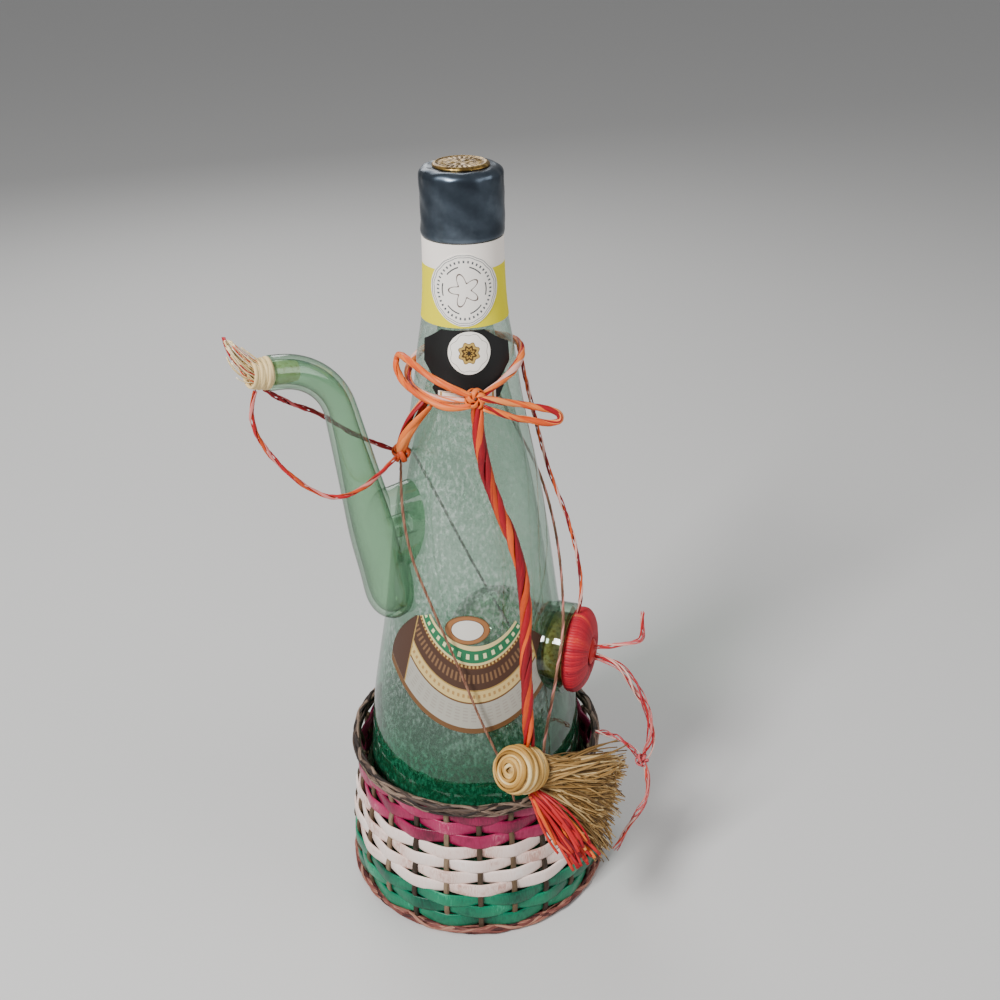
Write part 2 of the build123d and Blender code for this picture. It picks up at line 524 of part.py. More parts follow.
# ---- tethers of the spout's stopper
tie_point = mouth_at + mouth_dir * 6.2 + Vector(0, 0, -BINDING_R - 1.0)
cord("spout_tether_front", [
    tie_point, (-76.4, -48.2, 257.4), (-76.9, -46.6, 247.0), (-71.6, -45.6, 235.0), (-61.2, -44.6, 222.6),
    (-51.1, -43.6, 216.2), (-41.1, -40.2, 217.6), (-33.0, -31.0, 220.8), (-28.2, -20.4, 221.9)], TETHER_D)
cord("spout_tether_rear", [
    mouth_at + mouth_dir * 3.6 + Vector(0.2, 2.6, -BINDING_R - 1.85), (-65.6, -40.6, 255.0),
    (-55.2, -25.4, 243.4), (-47.3, -18.4, 232.9), (-40.3, -14.2, 226.6), (-34.0, -13.6, 223.4),
    (-28.8, -15.0, 221.9)], TETHER_D)

# ---- strands from the middle of the pocket's cap
hub_dir = polar(1, POCKET_AZ)
bunch_from = hub_dir * (hub_top - 1.6) + Vector(0, 0, POCKET_Z - 1.7)
cut_from = hub_dir * (hub_top - 1.6) + Vector(0, 0, POCKET_Z + 2.0)
BUNCH_KNOT = (72.2, -35.2, 77.6)
save("bunch_knot", Pos(*BUNCH_KNOT) * Sphere(BUNCH_KNOT_R))
cord("cap_bunch", [
    bunch_from, (58.4, -21.4, 122.2), (64.8, -24.7, 117.6), (70.7, -28.6, 109.2), (74.8, -31.7, 98.6),
    (76.4, -34.2, 87.6), (73.6, -35.2, 79.6)], BUNCH_D)
cord("cap_bunch_rim_branch", [
    (71.2, -33.6, 77.9), (68.0, -26.6, 78.4), (63.8, -19.4, 77.2), (58.9, -13.6, 75.4),
    (54.4, -10.6, 73.9)], BRANCH_D)
cord("cap_bunch_low_branch", [
    (73.2, -36.0, 75.6), (75.2, -38.0, 68.4), (74.6, -38.6, 58.6), (70.4, -39.0, 49.0), (65.2, -39.8, 39.6),
    (61.4, -40.6, 30.4)], BRANCH_D)
cord("cap_cut_end", [
    cut_from, (57.6, -20.9, 128.6), (63.0, -23.1, 131.2), (67.6, -24.4, 132.9), (70.6, -25.5, 134.8),
    (71.0, -25.8, 138.2), (70.4, -25.6, 143.4), (70.6, -25.4, 149.1)], CUT_END_D)

# ---- tassel: rope, wound head, straw skirt and a raffia tuft
head_at = Vector(*HEAD_CENTRE)
head_dir = Vector(*HEAD_AXIS).normalized()
head_plane = Plane(origin=head_at - head_dir * HEAD_LENGTH / 2, z_dir=head_dir)
cord("tassel_rope", [
    (3.4, -25.2, 245.4), (3.9, -26.6, 234.6), (5.6, -29.0, 221.2), (9.9, -31.0, 206.4),
    (16.6, -31.8, 189.2), (20.2, -34.0, 175.8), (21.2, -38.5, 160.4), (20.7, -43.5, 144.4),
    (21.0, -48.6, 125.0), (21.85, -54.65, 104.1)], ROPE_D)
save("tassel_core", head_plane * lathe([
    (HEAD_FRONT_R - 1.2, 0), (HEAD_FRONT_R, 1.4), (HEAD_FRONT_R, HEAD_LENGTH * 0.5),
    (HEAD_BACK_R, HEAD_LENGTH)], curve=False))
places, directions = [], []
turns_flat, turns_side = 3, 7
lift = HEAD_STRAND / 2 + 0.1
for i in range(4 * turns_flat):
    a = math.pi / 2 * i
    r = 3.6 + HEAD_PITCH * i / 4
    places.append(Vector(r * math.cos(a), r * math.sin(a), -lift))
    slope = HEAD_PITCH / (2 * math.pi * r)
    ahead = Vector(-math.sin(a) + slope * math.cos(a), math.cos(a) + slope * math.sin(a), 0)
    directions.append(ahead.normalized())
for i in range(4 * turns_side + 1):
    a = math.pi / 2 * (i + 4 * turns_flat + 1)
    z = 0.9 + HEAD_PITCH * i / 4
    share = max(0.0, (z - HEAD_LENGTH / 2) / (HEAD_LENGTH / 2))
    r = HEAD_FRONT_R + (HEAD_BACK_R - HEAD_FRONT_R) * share + HEAD_STRAND / 2 + 0.12
    places.append(Vector(r * math.cos(a), r * math.sin(a), z))
    slope = HEAD_PITCH / (2 * math.pi * r)
    directions.append(Vector(-math.sin(a), math.cos(a), slope).normalized())
save("tassel_winding", head_plane * wound(places, directions, HEAD_STRAND, 7))
skirt_at = head_at + head_dir * (HEAD_LENGTH / 2 + 1.6)
save("tassel_skirt", brush(
    skirt_at, head_dir, SKIRT_R, (58.5, -52.0, 68.0), (6.0, 14.0, 18.5), (-4.5, -5.0, 4.5),
    SKIRT_STRANDS, 1.5))
tuft_dir = Vector(0.62, -0.42, -0.66)
tuft_out = Vector(0.30, -0.45, -0.84).normalized()
tuft_at = head_at + head_dir * 1.8 + tuft_out * (HEAD_FRONT_R + HEAD_STRAND + 2.1)
save("tassel_tuft", brush(
    tuft_at, tuft_dir, 2.2, (42.5, -76.0, 63.5), (3.0, -3.0, 6.0), (5.5, 3.0, 2.0), 18, 1.2))
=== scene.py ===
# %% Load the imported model
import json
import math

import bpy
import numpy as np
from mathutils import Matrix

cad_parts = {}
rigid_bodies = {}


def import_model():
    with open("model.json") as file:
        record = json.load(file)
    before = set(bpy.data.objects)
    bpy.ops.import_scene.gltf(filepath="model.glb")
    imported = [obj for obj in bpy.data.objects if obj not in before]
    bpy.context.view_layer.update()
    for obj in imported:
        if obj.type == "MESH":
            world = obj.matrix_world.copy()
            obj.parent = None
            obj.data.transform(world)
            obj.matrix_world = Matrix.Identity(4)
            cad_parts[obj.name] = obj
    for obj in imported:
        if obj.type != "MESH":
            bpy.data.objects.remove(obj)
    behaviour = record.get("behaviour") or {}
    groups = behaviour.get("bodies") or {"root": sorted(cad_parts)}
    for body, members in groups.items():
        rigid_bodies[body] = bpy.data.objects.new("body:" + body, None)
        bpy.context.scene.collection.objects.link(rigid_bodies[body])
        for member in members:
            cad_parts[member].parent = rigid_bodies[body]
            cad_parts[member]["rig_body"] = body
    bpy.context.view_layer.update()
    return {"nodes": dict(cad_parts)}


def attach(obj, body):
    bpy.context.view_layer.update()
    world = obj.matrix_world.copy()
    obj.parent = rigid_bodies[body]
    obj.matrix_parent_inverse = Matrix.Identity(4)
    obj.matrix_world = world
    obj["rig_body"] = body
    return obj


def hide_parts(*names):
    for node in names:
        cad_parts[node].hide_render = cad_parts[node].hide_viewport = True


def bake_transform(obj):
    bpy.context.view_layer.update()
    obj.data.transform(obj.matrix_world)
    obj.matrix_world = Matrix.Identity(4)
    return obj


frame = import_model()

# %% [markdown]
# # A straw-cradled glass carafe
# A bottle for table wine, with a blown spout at one side, a glass pocket for crushed ice at the other,
# a basket of flat cane round the foot and raffia cords, tassel and stoppers. The rigid parts are the
# CAD model's own meshes, which only get better materials here. Everything woven, wound, tied or
# brushed is built again as single strands, because a smooth tube never looks like raffia.
# All lengths are metres in the CAD model's frame: the origin is under the bottle's axis, +Z is up and
# the labels face -Y.

MM = 0.001
nodes = frame["nodes"]

# %% [markdown]
# ## Camera
# The object was seen from half a metre away and from above, so near things look clearly larger. The
# camera's place, lens and turn come from fitting the silhouettes of the glass, spout and basket.
# Aiming a camera at an empty is simpler, but it can't give the small roll that the fit found.

# %% The camera at the photo's angle
LENS_MM, SENSOR_MM, CLIP_FROM = 43.2, 36.0, 0.01
CAMERA_AT = (0.0, -0.43765, 0.43193)
PITCH, YAW, ROLL = (math.radians(a) for a in (28.92, 1.6391, -0.7645))


def camera_axes(pitch, yaw, roll):
    """The camera's right, up and backward directions.

    It looks along +Y, tilts down by pitch and turns to +X by yaw. Right and up then turn about the view
    by roll: cos(roll) * right + sin(roll) * up, and cos(roll) * up - sin(roll) * right.
    """
    ahead = np.array([math.sin(yaw) * math.cos(pitch), math.cos(yaw) * math.cos(pitch), -math.sin(pitch)])
    right = np.array([math.cos(yaw), -math.sin(yaw), 0.0])
    up = np.cross(right, ahead)
    return math.cos(roll) * right + math.sin(roll) * up, math.cos(roll) * up - math.sin(roll) * right, -ahead


camera = bpy.data.objects.new("camera", bpy.data.cameras.new("camera"))
camera.data.lens = LENS_MM
camera.data.sensor_width = SENSOR_MM
camera.data.clip_start = CLIP_FROM
pose = np.eye(4)
pose[:3, :3] = np.array(camera_axes(PITCH, YAW, ROLL)).T
pose[:3, 3] = CAMERA_AT
camera.matrix_world = pose.T.tolist()
bpy.context.scene.collection.objects.link(camera)
bpy.context.scene.camera = camera
print("camera at", CAMERA_AT, "lens", LENS_MM, "mm")

# %% [markdown]
# ## Cord routes
# Every cord follows a line of control points through the air, knot to knot. A simulation could let
# the cords fall, but they have to lie as they were seen. Blender's own NURBS spline rounds the line,
# and its evaluated points are the centre line that the strands twist about. The points are those of
# the CAD model, in millimetres, so both models' cords lie in one place.

# %% Route points and the spline that rounds them
GLASS_PROFILE = np.array([
    (45.0, 4.0), (54.2, 21.0), (51.7, 40.0), (48.9, 58.0), (45.4, 94.0), (38.9, 132.0), (33.6, 171.0),
    (27.0, 212.0), (21.6, 240.0), (18.4, 262.0), (16.3, 275.0), (15.1, 301.0), (15.1, 326.0)])
SPOUT_AZIMUTH, POCKET_AZIMUTH = math.radians(213.0), math.radians(-20.0)
BEND_OUT, BEND_Z = 59.2, 264.6
MOUTH_OUT, MOUTH_Z = 82.2, 268.2
HUB_OUT, HUB_Z = 53.4, 124.5
TIE_OVER_GLASS = 3.3


def unit(vectors):
    """The same vectors, each made one long."""
    vectors = np.asarray(vectors, float)
    return vectors / np.linalg.norm(vectors, axis=-1, keepdims=True)


spout_bend = np.array([BEND_OUT * math.cos(SPOUT_AZIMUTH), BEND_OUT * math.sin(SPOUT_AZIMUTH), BEND_Z])
mouth_at = np.array([MOUTH_OUT * math.cos(SPOUT_AZIMUTH), MOUTH_OUT * math.sin(SPOUT_AZIMUTH), MOUTH_Z])
mouth_dir = unit(mouth_at - spout_bend)
hub_dir = np.array([math.cos(POCKET_AZIMUTH), math.sin(POCKET_AZIMUTH), 0.0])
hub_at = hub_dir * HUB_OUT + (0, 0, HUB_Z)

TIE_COURSE = [
    (-78, 247.6), (-52, 252.0), (-26, 255.5), (2, 257.6), (30, 257.2), (60, 256.6), (90, 255.8),
    (120, 254.2), (150, 251.5), (180, 248.8), (208, 246.2), (236, 245.8), (262, 246.2), (276, 247.0)]
tie_radius = [np.interp(z, GLASS_PROFILE[:, 1], GLASS_PROFILE[:, 0]) + TIE_OVER_GLASS for _, z in TIE_COURSE]
ROUTES = {
    "neck_tie_wrap": [
        (r * math.cos(math.radians(a)), r * math.sin(math.radians(a)), z)
        for r, (a, z) in zip(tie_radius, TIE_COURSE)],
    "tie_left_loop": [
        (1.6, -26.4, 249.4), (-6.5, -25.4, 252.4), (-14.4, -21.6, 255.8), (-21.2, -13.6, 258.4),
        (-25.4, -5.8, 258.6), (-27.0, -2.2, 255.6), (-27.2, -5.4, 252.2), (-23.6, -14.8, 249.4),
        (-15.6, -23.4, 246.9), (-7.0, -27.3, 244.1), (1.4, -27.4, 245.8)],
    "tie_right_loop": [
        (4.6, -26.6, 248.4), (12.5, -25.6, 246.6), (22.5, -23.4, 243.6), (30.4, -22.4, 241.4),
        (35.0, -22.2, 239.4), (35.6, -22.8, 236.4), (31.6, -23.6, 235.8), (24.0, -25.2, 238.0),
        (15.0, -26.6, 240.6), (6.0, -27.0, 244.6)],
    "knot_bundle": [
        (-15.0, -18.9, 244.0), (-20.4, -20.8, 238.2), (-24.4, -19.4, 230.4), (-26.2, -17.0, 223.4)],
    "front_stay": [
        (-26.6, -18.2, 219.6), (-26.8, -23.5, 212.1), (-26.3, -30.5, 199.2), (-23.5, -33.2, 182.3),
        (-18.9, -35.6, 169.3), (-13.4, -38.8, 154.3), (-5.9, -43.0, 134.9), (1.7, -47.2, 112.7),
        (7.8, -49.6, 98.0), (12.6, -51.2, 84.5), (15.8, -53.2, 71.4)],
    "back_stay": [
        (-28.6, -14.4, 220.2), (-30.8, -4.6, 217.2), (-29.2, 8.0, 212.6), (-24.2, 20.6, 204.6),
        (-19.6, 27.9, 189.5), (-13.6, 34.4, 171.8), (-5.4, 39.8, 148.6), (4.4, 44.0, 123.6),
        (13.6, 46.2, 103.0), (21.0, 48.6, 86.0), (25.8, 48.8, 71.4)],
    "right_stay": [
        (3.4, 22.6, 254.8), (6.6, 24.6, 244.0), (12.4, 26.4, 229.0), (20.4, 23.4, 212.4),
        (28.2, 15.9, 199.4), (33.4, 6.4, 186.4), (37.0, -4.6, 169.0), (38.0, -19.0, 152.6),
        (37.0, -30.0, 140.4), (34.4, -35.8, 129.6), (32.4, -38.2, 115.0), (29.8, -39.6, 101.0),
        (28.4, -41.2, 88.0), (28.6, -43.6, 78.8), (29.9, -46.9, 71.4)],
    "cap_cord": [
        (20.6, 9.8, 256.0), (23.0, 11.8, 244.0), (26.0, 12.2, 229.6), (29.2, 9.2, 216.0),
        (32.2, 4.2, 204.6), (35.8, -0.8, 195.2), (40.0, -5.0, 184.8), (43.6, -9.6, 172.6),
        (45.7, -13.4, 159.6), (45.8, -15.9, 150.2), (44.6, -16.6, 143.6)],
    "spout_tether_front": [
        mouth_at + mouth_dir * 6.2 - (0, 0, 6.2), (-76.4, -48.2, 257.4), (-76.9, -46.6, 247.0),
        (-71.6, -45.6, 235.0), (-61.2, -44.6, 222.6), (-51.1, -43.6, 216.2), (-41.1, -40.2, 217.6),
        (-33.0, -31.0, 220.8), (-28.2, -20.4, 221.9)],
    "spout_tether_rear": [
        mouth_at + mouth_dir * 3.6 + (0.2, 2.6, -7.05), (-65.6, -40.6, 255.0), (-55.2, -25.4, 243.4),
        (-47.3, -18.4, 232.9), (-40.3, -14.2, 226.6), (-34.0, -13.6, 223.4), (-28.8, -15.0, 221.9)],
    "cap_bunch": [
        hub_at - (0, 0, 1.7), (58.4, -21.4, 122.2), (64.8, -24.7, 117.6), (70.7, -28.6, 109.2),
        (74.8, -31.7, 98.6), (76.4, -34.2, 87.6), (73.6, -35.2, 79.6)],
    "cap_bunch_rim_branch": [
        (71.2, -33.6, 77.9), (68.0, -26.6, 78.4), (63.8, -19.4, 77.2), (58.9, -13.6, 75.4),
        (54.4, -10.6, 73.9)],
    "cap_bunch_low_branch": [
        (73.2, -36.0, 75.6), (75.2, -38.0, 68.4), (74.6, -38.6, 58.6), (70.4, -39.0, 49.0),
        (65.2, -39.8, 39.6), (61.4, -40.6, 30.4)],
    "cap_cut_end": [
        hub_at + (0, 0, 2.0), (57.6, -20.9, 128.6), (63.0, -23.1, 131.2), (67.6, -24.4, 132.9),
        (70.6, -25.5, 134.8), (71.0, -25.8, 138.2), (70.4, -25.6, 143.4), (70.6, -25.4, 149.1)],
    "tassel_rope": [
        (3.4, -25.2, 245.4), (3.9, -26.6, 234.6), (5.6, -29.0, 221.2), (9.9, -31.0, 206.4),
        (16.6, -31.8, 189.2), (20.2, -34.0, 175.8), (21.2, -38.5, 160.4), (20.7, -43.5, 144.4),
        (21.0, -48.6, 125.0), (21.85, -54.65, 104.1)],
}


def route_line(name):
    """The points of a quadratic NURBS spline over a route, end points included, in metres.

    Each point carries a weight of 1, the fourth number once it is scaled.
    """
    curve = bpy.data.curves.new(name + "_route", "CURVE")
    curve.dimensions = "3D"
    spline = curve.splines.new("NURBS")
    places = np.array([(*p, 1000.0) for p in ROUTES[name]]) * MM
    spline.points.add(len(places) - 1)
    spline.points.foreach_set("co", places.ravel())
    spline.order_u = 3
    spline.use_endpoint_u = True
    spline.resolution_u = 12
    carrier = bpy.data.objects.new(curve.name, curve)
    mesh = bpy.data.meshes.new_from_object(carrier)
    line = np.empty(len(mesh.vertices) * 3)
    mesh.vertices.foreach_get("co", line)
    bpy.data.objects.remove(carrier)
    bpy.data.curves.remove(curve)
    bpy.data.meshes.remove(mesh)
    return line.reshape(-1, 3)


def travelled(line):
    """The distance along a line at each of its points."""
    steps = np.linalg.norm(np.diff(line, axis=-2), axis=-1)
    return np.concatenate([np.zeros_like(steps[..., :1]), np.cumsum(steps, axis=-1)], axis=-1)


lines = {name: route_line(name) for name in ROUTES}
print("route lengths, mm:", {name: round(travelled(line)[-1] / MM, 1) for name, line in lines.items()})

# %% [markdown]
# ## Strands
# Raffia, straw and cane are all long thin strips. A curve with a bevel could make each one, but its
# round section can't lie flat. So one function turns many centre lines at once into a mesh of strips
# with an oval section. Each strip knows two directions across itself, one along its width and one
# along its thickness, so it can lie flat on whatever it is wound round. Each gets its own `tint`, a
# number from 0 to 1 that the materials turn into a slightly different colour.

# %% A mesh of strips along centre lines
SEED = 24
random = np.random.default_rng(SEED)


def strips(name, centres, outward, width, thick, sides=8, closed=False, tint=None, finishes=None, square=1.0):
    """k strips with n stations each as one mesh object.

    A vertex is centre + a cos(t) * width direction + b sin(t) * thickness direction, where a and b are
    half the width and half the thickness and t goes once round the section. The thickness direction
    is outward made square to the run, and the width direction is square to both. A square below 1
    raises the cosine and sine to that power, which gives a flat strip with crowned faces.
    """
    centres = centres.reshape(-1, centres.shape[-2], 3)
    k, n = centres.shape[:2]
    if closed:
        run = unit(np.roll(centres, -1, axis=1) - np.roll(centres, 1, axis=1))
    else:
        run = unit(np.gradient(centres, axis=1))
    deep = unit(outward - run * np.sum(outward * run, axis=-1, keepdims=True))
    wide = np.cross(deep, run)
    t = np.arange(sides) * 2 * np.pi / sides
    ring = np.stack([np.sign(f) * np.abs(f) ** square for f in (np.cos(t), np.sin(t))])
    a = np.broadcast_to(width, (k, n))[..., None, None] / 2 * ring[0][:, None]
    b = np.broadcast_to(thick, (k, n))[..., None, None] / 2 * ring[1][:, None]
    points = centres[:, :, None] + a * wide[:, :, None] + b * deep[:, :, None]

    # each face joins a station to the next one, and an open strip has a cap at both ends
    spans = n if closed else n - 1
    i, j = np.meshgrid(np.arange(spans), np.arange(sides), indexing="ij")
    near, far, next_j = i * sides, (i + 1) % n * sides, (j + 1) % sides
    quad = np.stack([near + j, near + next_j, far + next_j, far + j], axis=-1).reshape(-1, 4)
    first = np.arange(k)[:, None] * n * sides
    quads = (first[..., None] + quad).reshape(-1, 4)
    caps = []
    if not closed:
        last = first + (n - 1) * sides
        caps = np.concatenate([first + np.arange(sides)[::-1], last + np.arange(sides)]).tolist()
    mesh = bpy.data.meshes.new(name)
    mesh.from_pydata(points.reshape(-1, 3).tolist(), [], quads.tolist() + caps)

    # the UV map holds millimetres along the strip and the share of the way round it
    along = travelled(centres) / MM
    if closed:
        along = np.concatenate([along, along[:, -1:] + along[:, 1:2]], axis=1)
    u = np.stack([along[:, i], along[:, i], along[:, i + 1], along[:, i + 1]], axis=-1)
    v = np.broadcast_to(np.stack([j, j + 1, j + 1, j], axis=-1) / sides, u.shape)
    corners = np.concatenate([np.stack([u, v], axis=-1).ravel(), np.zeros(2 * sides * len(caps))])
    mesh.uv_layers.new(name="strip").data.foreach_set("uv", corners)
    tint = random.random(k) if tint is None else np.asarray(tint, float)
    tint = np.broadcast_to(tint[:, None, None] if tint.ndim == 1 else tint[:, :, None], (k, n, sides))
    mesh.attributes.new("tint", "FLOAT", "POINT").data.foreach_set("value", tint.ravel())
    if finishes is not None:
        which = np.repeat(np.asarray(finishes), spans * sides)
        ends = np.tile(np.asarray(finishes), 2) if len(caps) else np.zeros(0, int)
        mesh.polygons.foreach_set("material_index", np.concatenate([which, ends]).astype(np.int32))
    mesh.shade_smooth()
    piece = bpy.data.objects.new(name, mesh)
    bpy.context.scene.collection.objects.link(piece)
    print(name, "strips:", k, "faces:", len(mesh.polygons))
    return piece


# %% Strands that twist about a line
def axes_of(line):
    """Two unit directions square to a line at each point, from the direction that its run turns to least."""
    run = unit(np.gradient(line, axis=0))
    steady = np.linalg.svd(run, full_matrices=False)[2][2]
    first = unit(steady - run * (run @ steady)[:, None])
    return first, np.cross(run, first)


def twisted(line, count, reach, pitch, wander=0.0):
    """Centre lines of strands that wind about a line, and their outward directions.

    Strand i sits at reach from the line at the angle 2 pi (distance / pitch + i / count). Wander adds
    a slow change of reach and angle, so that the strands cross as in a hand-twisted cord.
    """
    first, second = axes_of(line)
    distance = travelled(line)
    phase = np.arange(count)[:, None] / count * 2 * np.pi
    sway = np.sin(distance / (pitch * 0.63) * 2 * np.pi + random.random((count, 1)) * 6.28)
    drift = np.sin(distance / (pitch * 1.7) * 2 * np.pi + random.random((count, 1)) * 6.28)
    angle = phase + 2 * np.pi * distance / pitch + wander * 0.9 * drift
    radius = reach * (1 + wander * 0.45 * sway)
    out = np.cos(angle)[..., None] * first + np.sin(angle)[..., None] * second
    return line + radius[..., None] * out, unit(out)


def ends_taper(n, share=0.06, least=0.35):
    """A width factor that falls towards both ends of a strip: least + (1 - least) (way in / share) ^ 0.6."""
    x = np.linspace(0, 1, n)
    return least + (1 - least) * np.clip(np.minimum(x, 1 - x) / share, 0, 1) ** 0.6


print("seed:", SEED, "width factor at a cord's end:", ends_taper(2)[0])

# %% [markdown]
# ## Colours and shader nodes
# Colours are picked as sRGB hex codes, and the renderer works in linear light, so one function
# converts them. Another adds a node with its settings and inputs in one line, which keeps each
# material short enough to read as a recipe. A number goes straight into the socket that needs it.

# %% Colour and node helpers
def linear(code):
    """An sRGB hex code as linear RGBA: c / 12.92 when dark, else ((c + 0.055) / 1.055) to the power 2.4."""
    parts = [int(code[i:i + 2], 16) / 255 for i in (1, 3, 5)]
    return tuple(c / 12.92 if c <= 0.04045 else ((c + 0.055) / 1.055) ** 2.4 for c in parts) + (1.0,)


def feed(tree, node, inputs):
    """Gives inputs their numbers, colours or links; a node given as an input stands for its first output."""
    for key, value in inputs.items() if isinstance(inputs, dict) else enumerate(inputs):
        if isinstance(value, bpy.types.Node):
            value = next(output for output in value.outputs if output.enabled)
        if isinstance(value, bpy.types.NodeSocket):
            tree.links.new(value, node.inputs[key])
        else:
            node.inputs[key].default_value = value


def add(tree, kind, inputs=(), stops=(), hold=False, **settings):
    """A shader node with its settings, its inputs and, on a colour ramp, its (place, colour) stops.

    With hold, each stop's colour stays flat until the next stop.
    """
    node = tree.nodes.new("ShaderNode" + kind)
    for key, value in settings.items():
        setattr(node, key, value)
    feed(tree, node, inputs)
    for i, (place, code) in enumerate(stops):
        if i >= len(node.color_ramp.elements):
            node.color_ramp.elements.new(place)
        node.color_ramp.elements[i].position = place
        node.color_ramp.elements[i].color = linear(code)
    if hold:
        node.color_ramp.interpolation = "CONSTANT"
    return node


def material(name, **inputs):
    """A new material, its node tree and its Principled shader, whose inputs are given with _ for a space."""
    made = bpy.data.materials.new(name)
    made.use_nodes = True
    shader = made.node_tree.nodes["Principled BSDF"]
    feed(made.node_tree, shader, {key.replace("_", " "): value for key, value in inputs.items()})
    return made, made.node_tree, shader


print("linear mid grey:", [round(c, 3) for c in linear("#808080")])

# %% [markdown]
# ## Plant fibre
# Raffia is the dyed skin of a palm leaf, straw and cane are split stems. All are matt to satin, with
# fine ribs and streaks along the strip where the dye took unevenly. An image would have to be
# painted for each strip, so one noise does it here: it is squeezed along the strip, and each strip's
# tint moves it to another part of the noise and along the colours. Typical values for dry plant
# fibre are an IOR near 1.45 and a roughness of 0.5 to 0.6.

# %% One recipe for fibre, and the five cord fibres
def strip_material(name, stops, streak_mm=0.25, roughness=0.5, bump_mm=0.06, streaks=0.28):
    """Plant fibre on a strip: tint chooses the colour, streaks run along it and the surface is ribbed.

    The noise reads the strip's UV, where u is millimetres along and v goes once round. It is
    squeezed along u, so the grains become long streaks. The colour's place on the ramp is
    tint + 2.2 * streaks * (noise - 0.5).
    """
    made, tree, shader = material(name, Roughness=roughness, IOR=1.45, Specular_IOR_Level=0.4)
    uv = add(tree, "UVMap", uv_map="strip")
    stretched = add(tree, "Mapping", {"Vector": uv, "Scale": (0.06, 3.0, 1.0)})
    tint = add(tree, "Attribute", attribute_name="tint").outputs["Fac"]
    apart = add(tree, "CombineXYZ", {"Z": tint})
    spread = add(tree, "VectorMath", {"Vector": apart, "Scale": 40.0}, operation="SCALE")
    place = add(tree, "VectorMath", (stretched, spread), operation="ADD")
    grain = add(tree, "TexNoise", {
        "Vector": place, "Scale": 1.0 / streak_mm, "Detail": 3.0, "Roughness": 0.6})
    centred = add(tree, "Math", (grain, 0.5), operation="SUBTRACT")
    shifted = add(tree, "Math", (centred, streaks * 2.2, tint), operation="MULTIPLY_ADD", use_clamp=True)
    bump = add(tree, "Bump", {"Height": grain, "Strength": 0.6, "Distance": bump_mm * MM})
    feed(tree, shader, {"Base Color": add(tree, "ValToRGB", {"Fac": shifted}, stops), "Normal": bump})
    return made


# dyed raffia: satin strips, each in a shade of its own, paler where the dye is thin
orange_raffia = strip_material(
    "orange dyed raffia", [(0.0, "#B03C14"), (0.35, "#D9541C"), (0.7, "#EB742C"), (1.0, "#F29A58")])
red_raffia = strip_material(
    "crimson dyed raffia", [(0.0, "#6E0A18"), (0.4, "#A40E1C"), (0.75, "#C22024"), (1.0, "#DA4832")])
pink_raffia = strip_material(
    "faded pink raffia", [(0.0, "#A8323F"), (0.4, "#CF6062"), (0.7, "#E09A8C"), (1.0, "#EFCFC0")])
# natural straw: warm yellow, a little glossier on its skin than on its cut edges
straw_fibre = strip_material(
    "natural straw", [(0.0, "#8E6428"), (0.4, "#BC8E44"), (0.75, "#D8B066"), (1.0, "#EED49A")],
    roughness=0.55)
# twine of brown bast: dull, and read from afar as one dark line
brown_cord = strip_material(
    "brown stay cord", [(0.0, "#3A2018"), (0.5, "#6A4030"), (1.0, "#A47860")], streak_mm=0.15, roughness=0.6)
print("fibre materials:", [m.name for m in (orange_raffia, red_raffia, pink_raffia, straw_fibre, brown_cord)])

# %% [markdown]
# ## Pieces
# Each new piece takes the place of one CAD node, which is hidden, moves with that node's body and takes the
# materials it is given. A few cords run from one body to another. Riding on either body would tear them off
# the other, so those ride no body and keep their place in the world.

# %% Finishing a piece
def finish_piece(piece, node, finishes, follows=None):
    """Gives a piece its materials; it stands for a CAD node, hides that node and rides that node's body.

    A strand between two bodies names the second one in follows, with the places where it leaves the
    first and where it is fast to the second. Only whether follows is given counts: such a strand rides
    no body, and its mesh keeps its place in the world.
    """
    for m in finishes:
        piece.data.materials.append(m)
    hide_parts(node)
    if follows:
        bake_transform(piece)
    else:
        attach(piece, nodes[node]["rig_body"])
    return piece


def refit(node, made):
    """Puts a material into every slot of a CAD mesh."""
    for s in nodes[node].material_slots:
        s.material = made
    print(node, "is now", made.name)


# %% [markdown]
# ## The cords
# The tie round the neck is three or four flat raffia strips with a loose twist. The rope of the
# tassel is thicker and tightly laid. The stays are thin brown cords, and the strands at the spout and
# the ice pocket are frayed pink and red raffia. A bevelled curve would give smooth tubes. Strips
# that wind about the same line keep the cord's course and size, and show every strand.

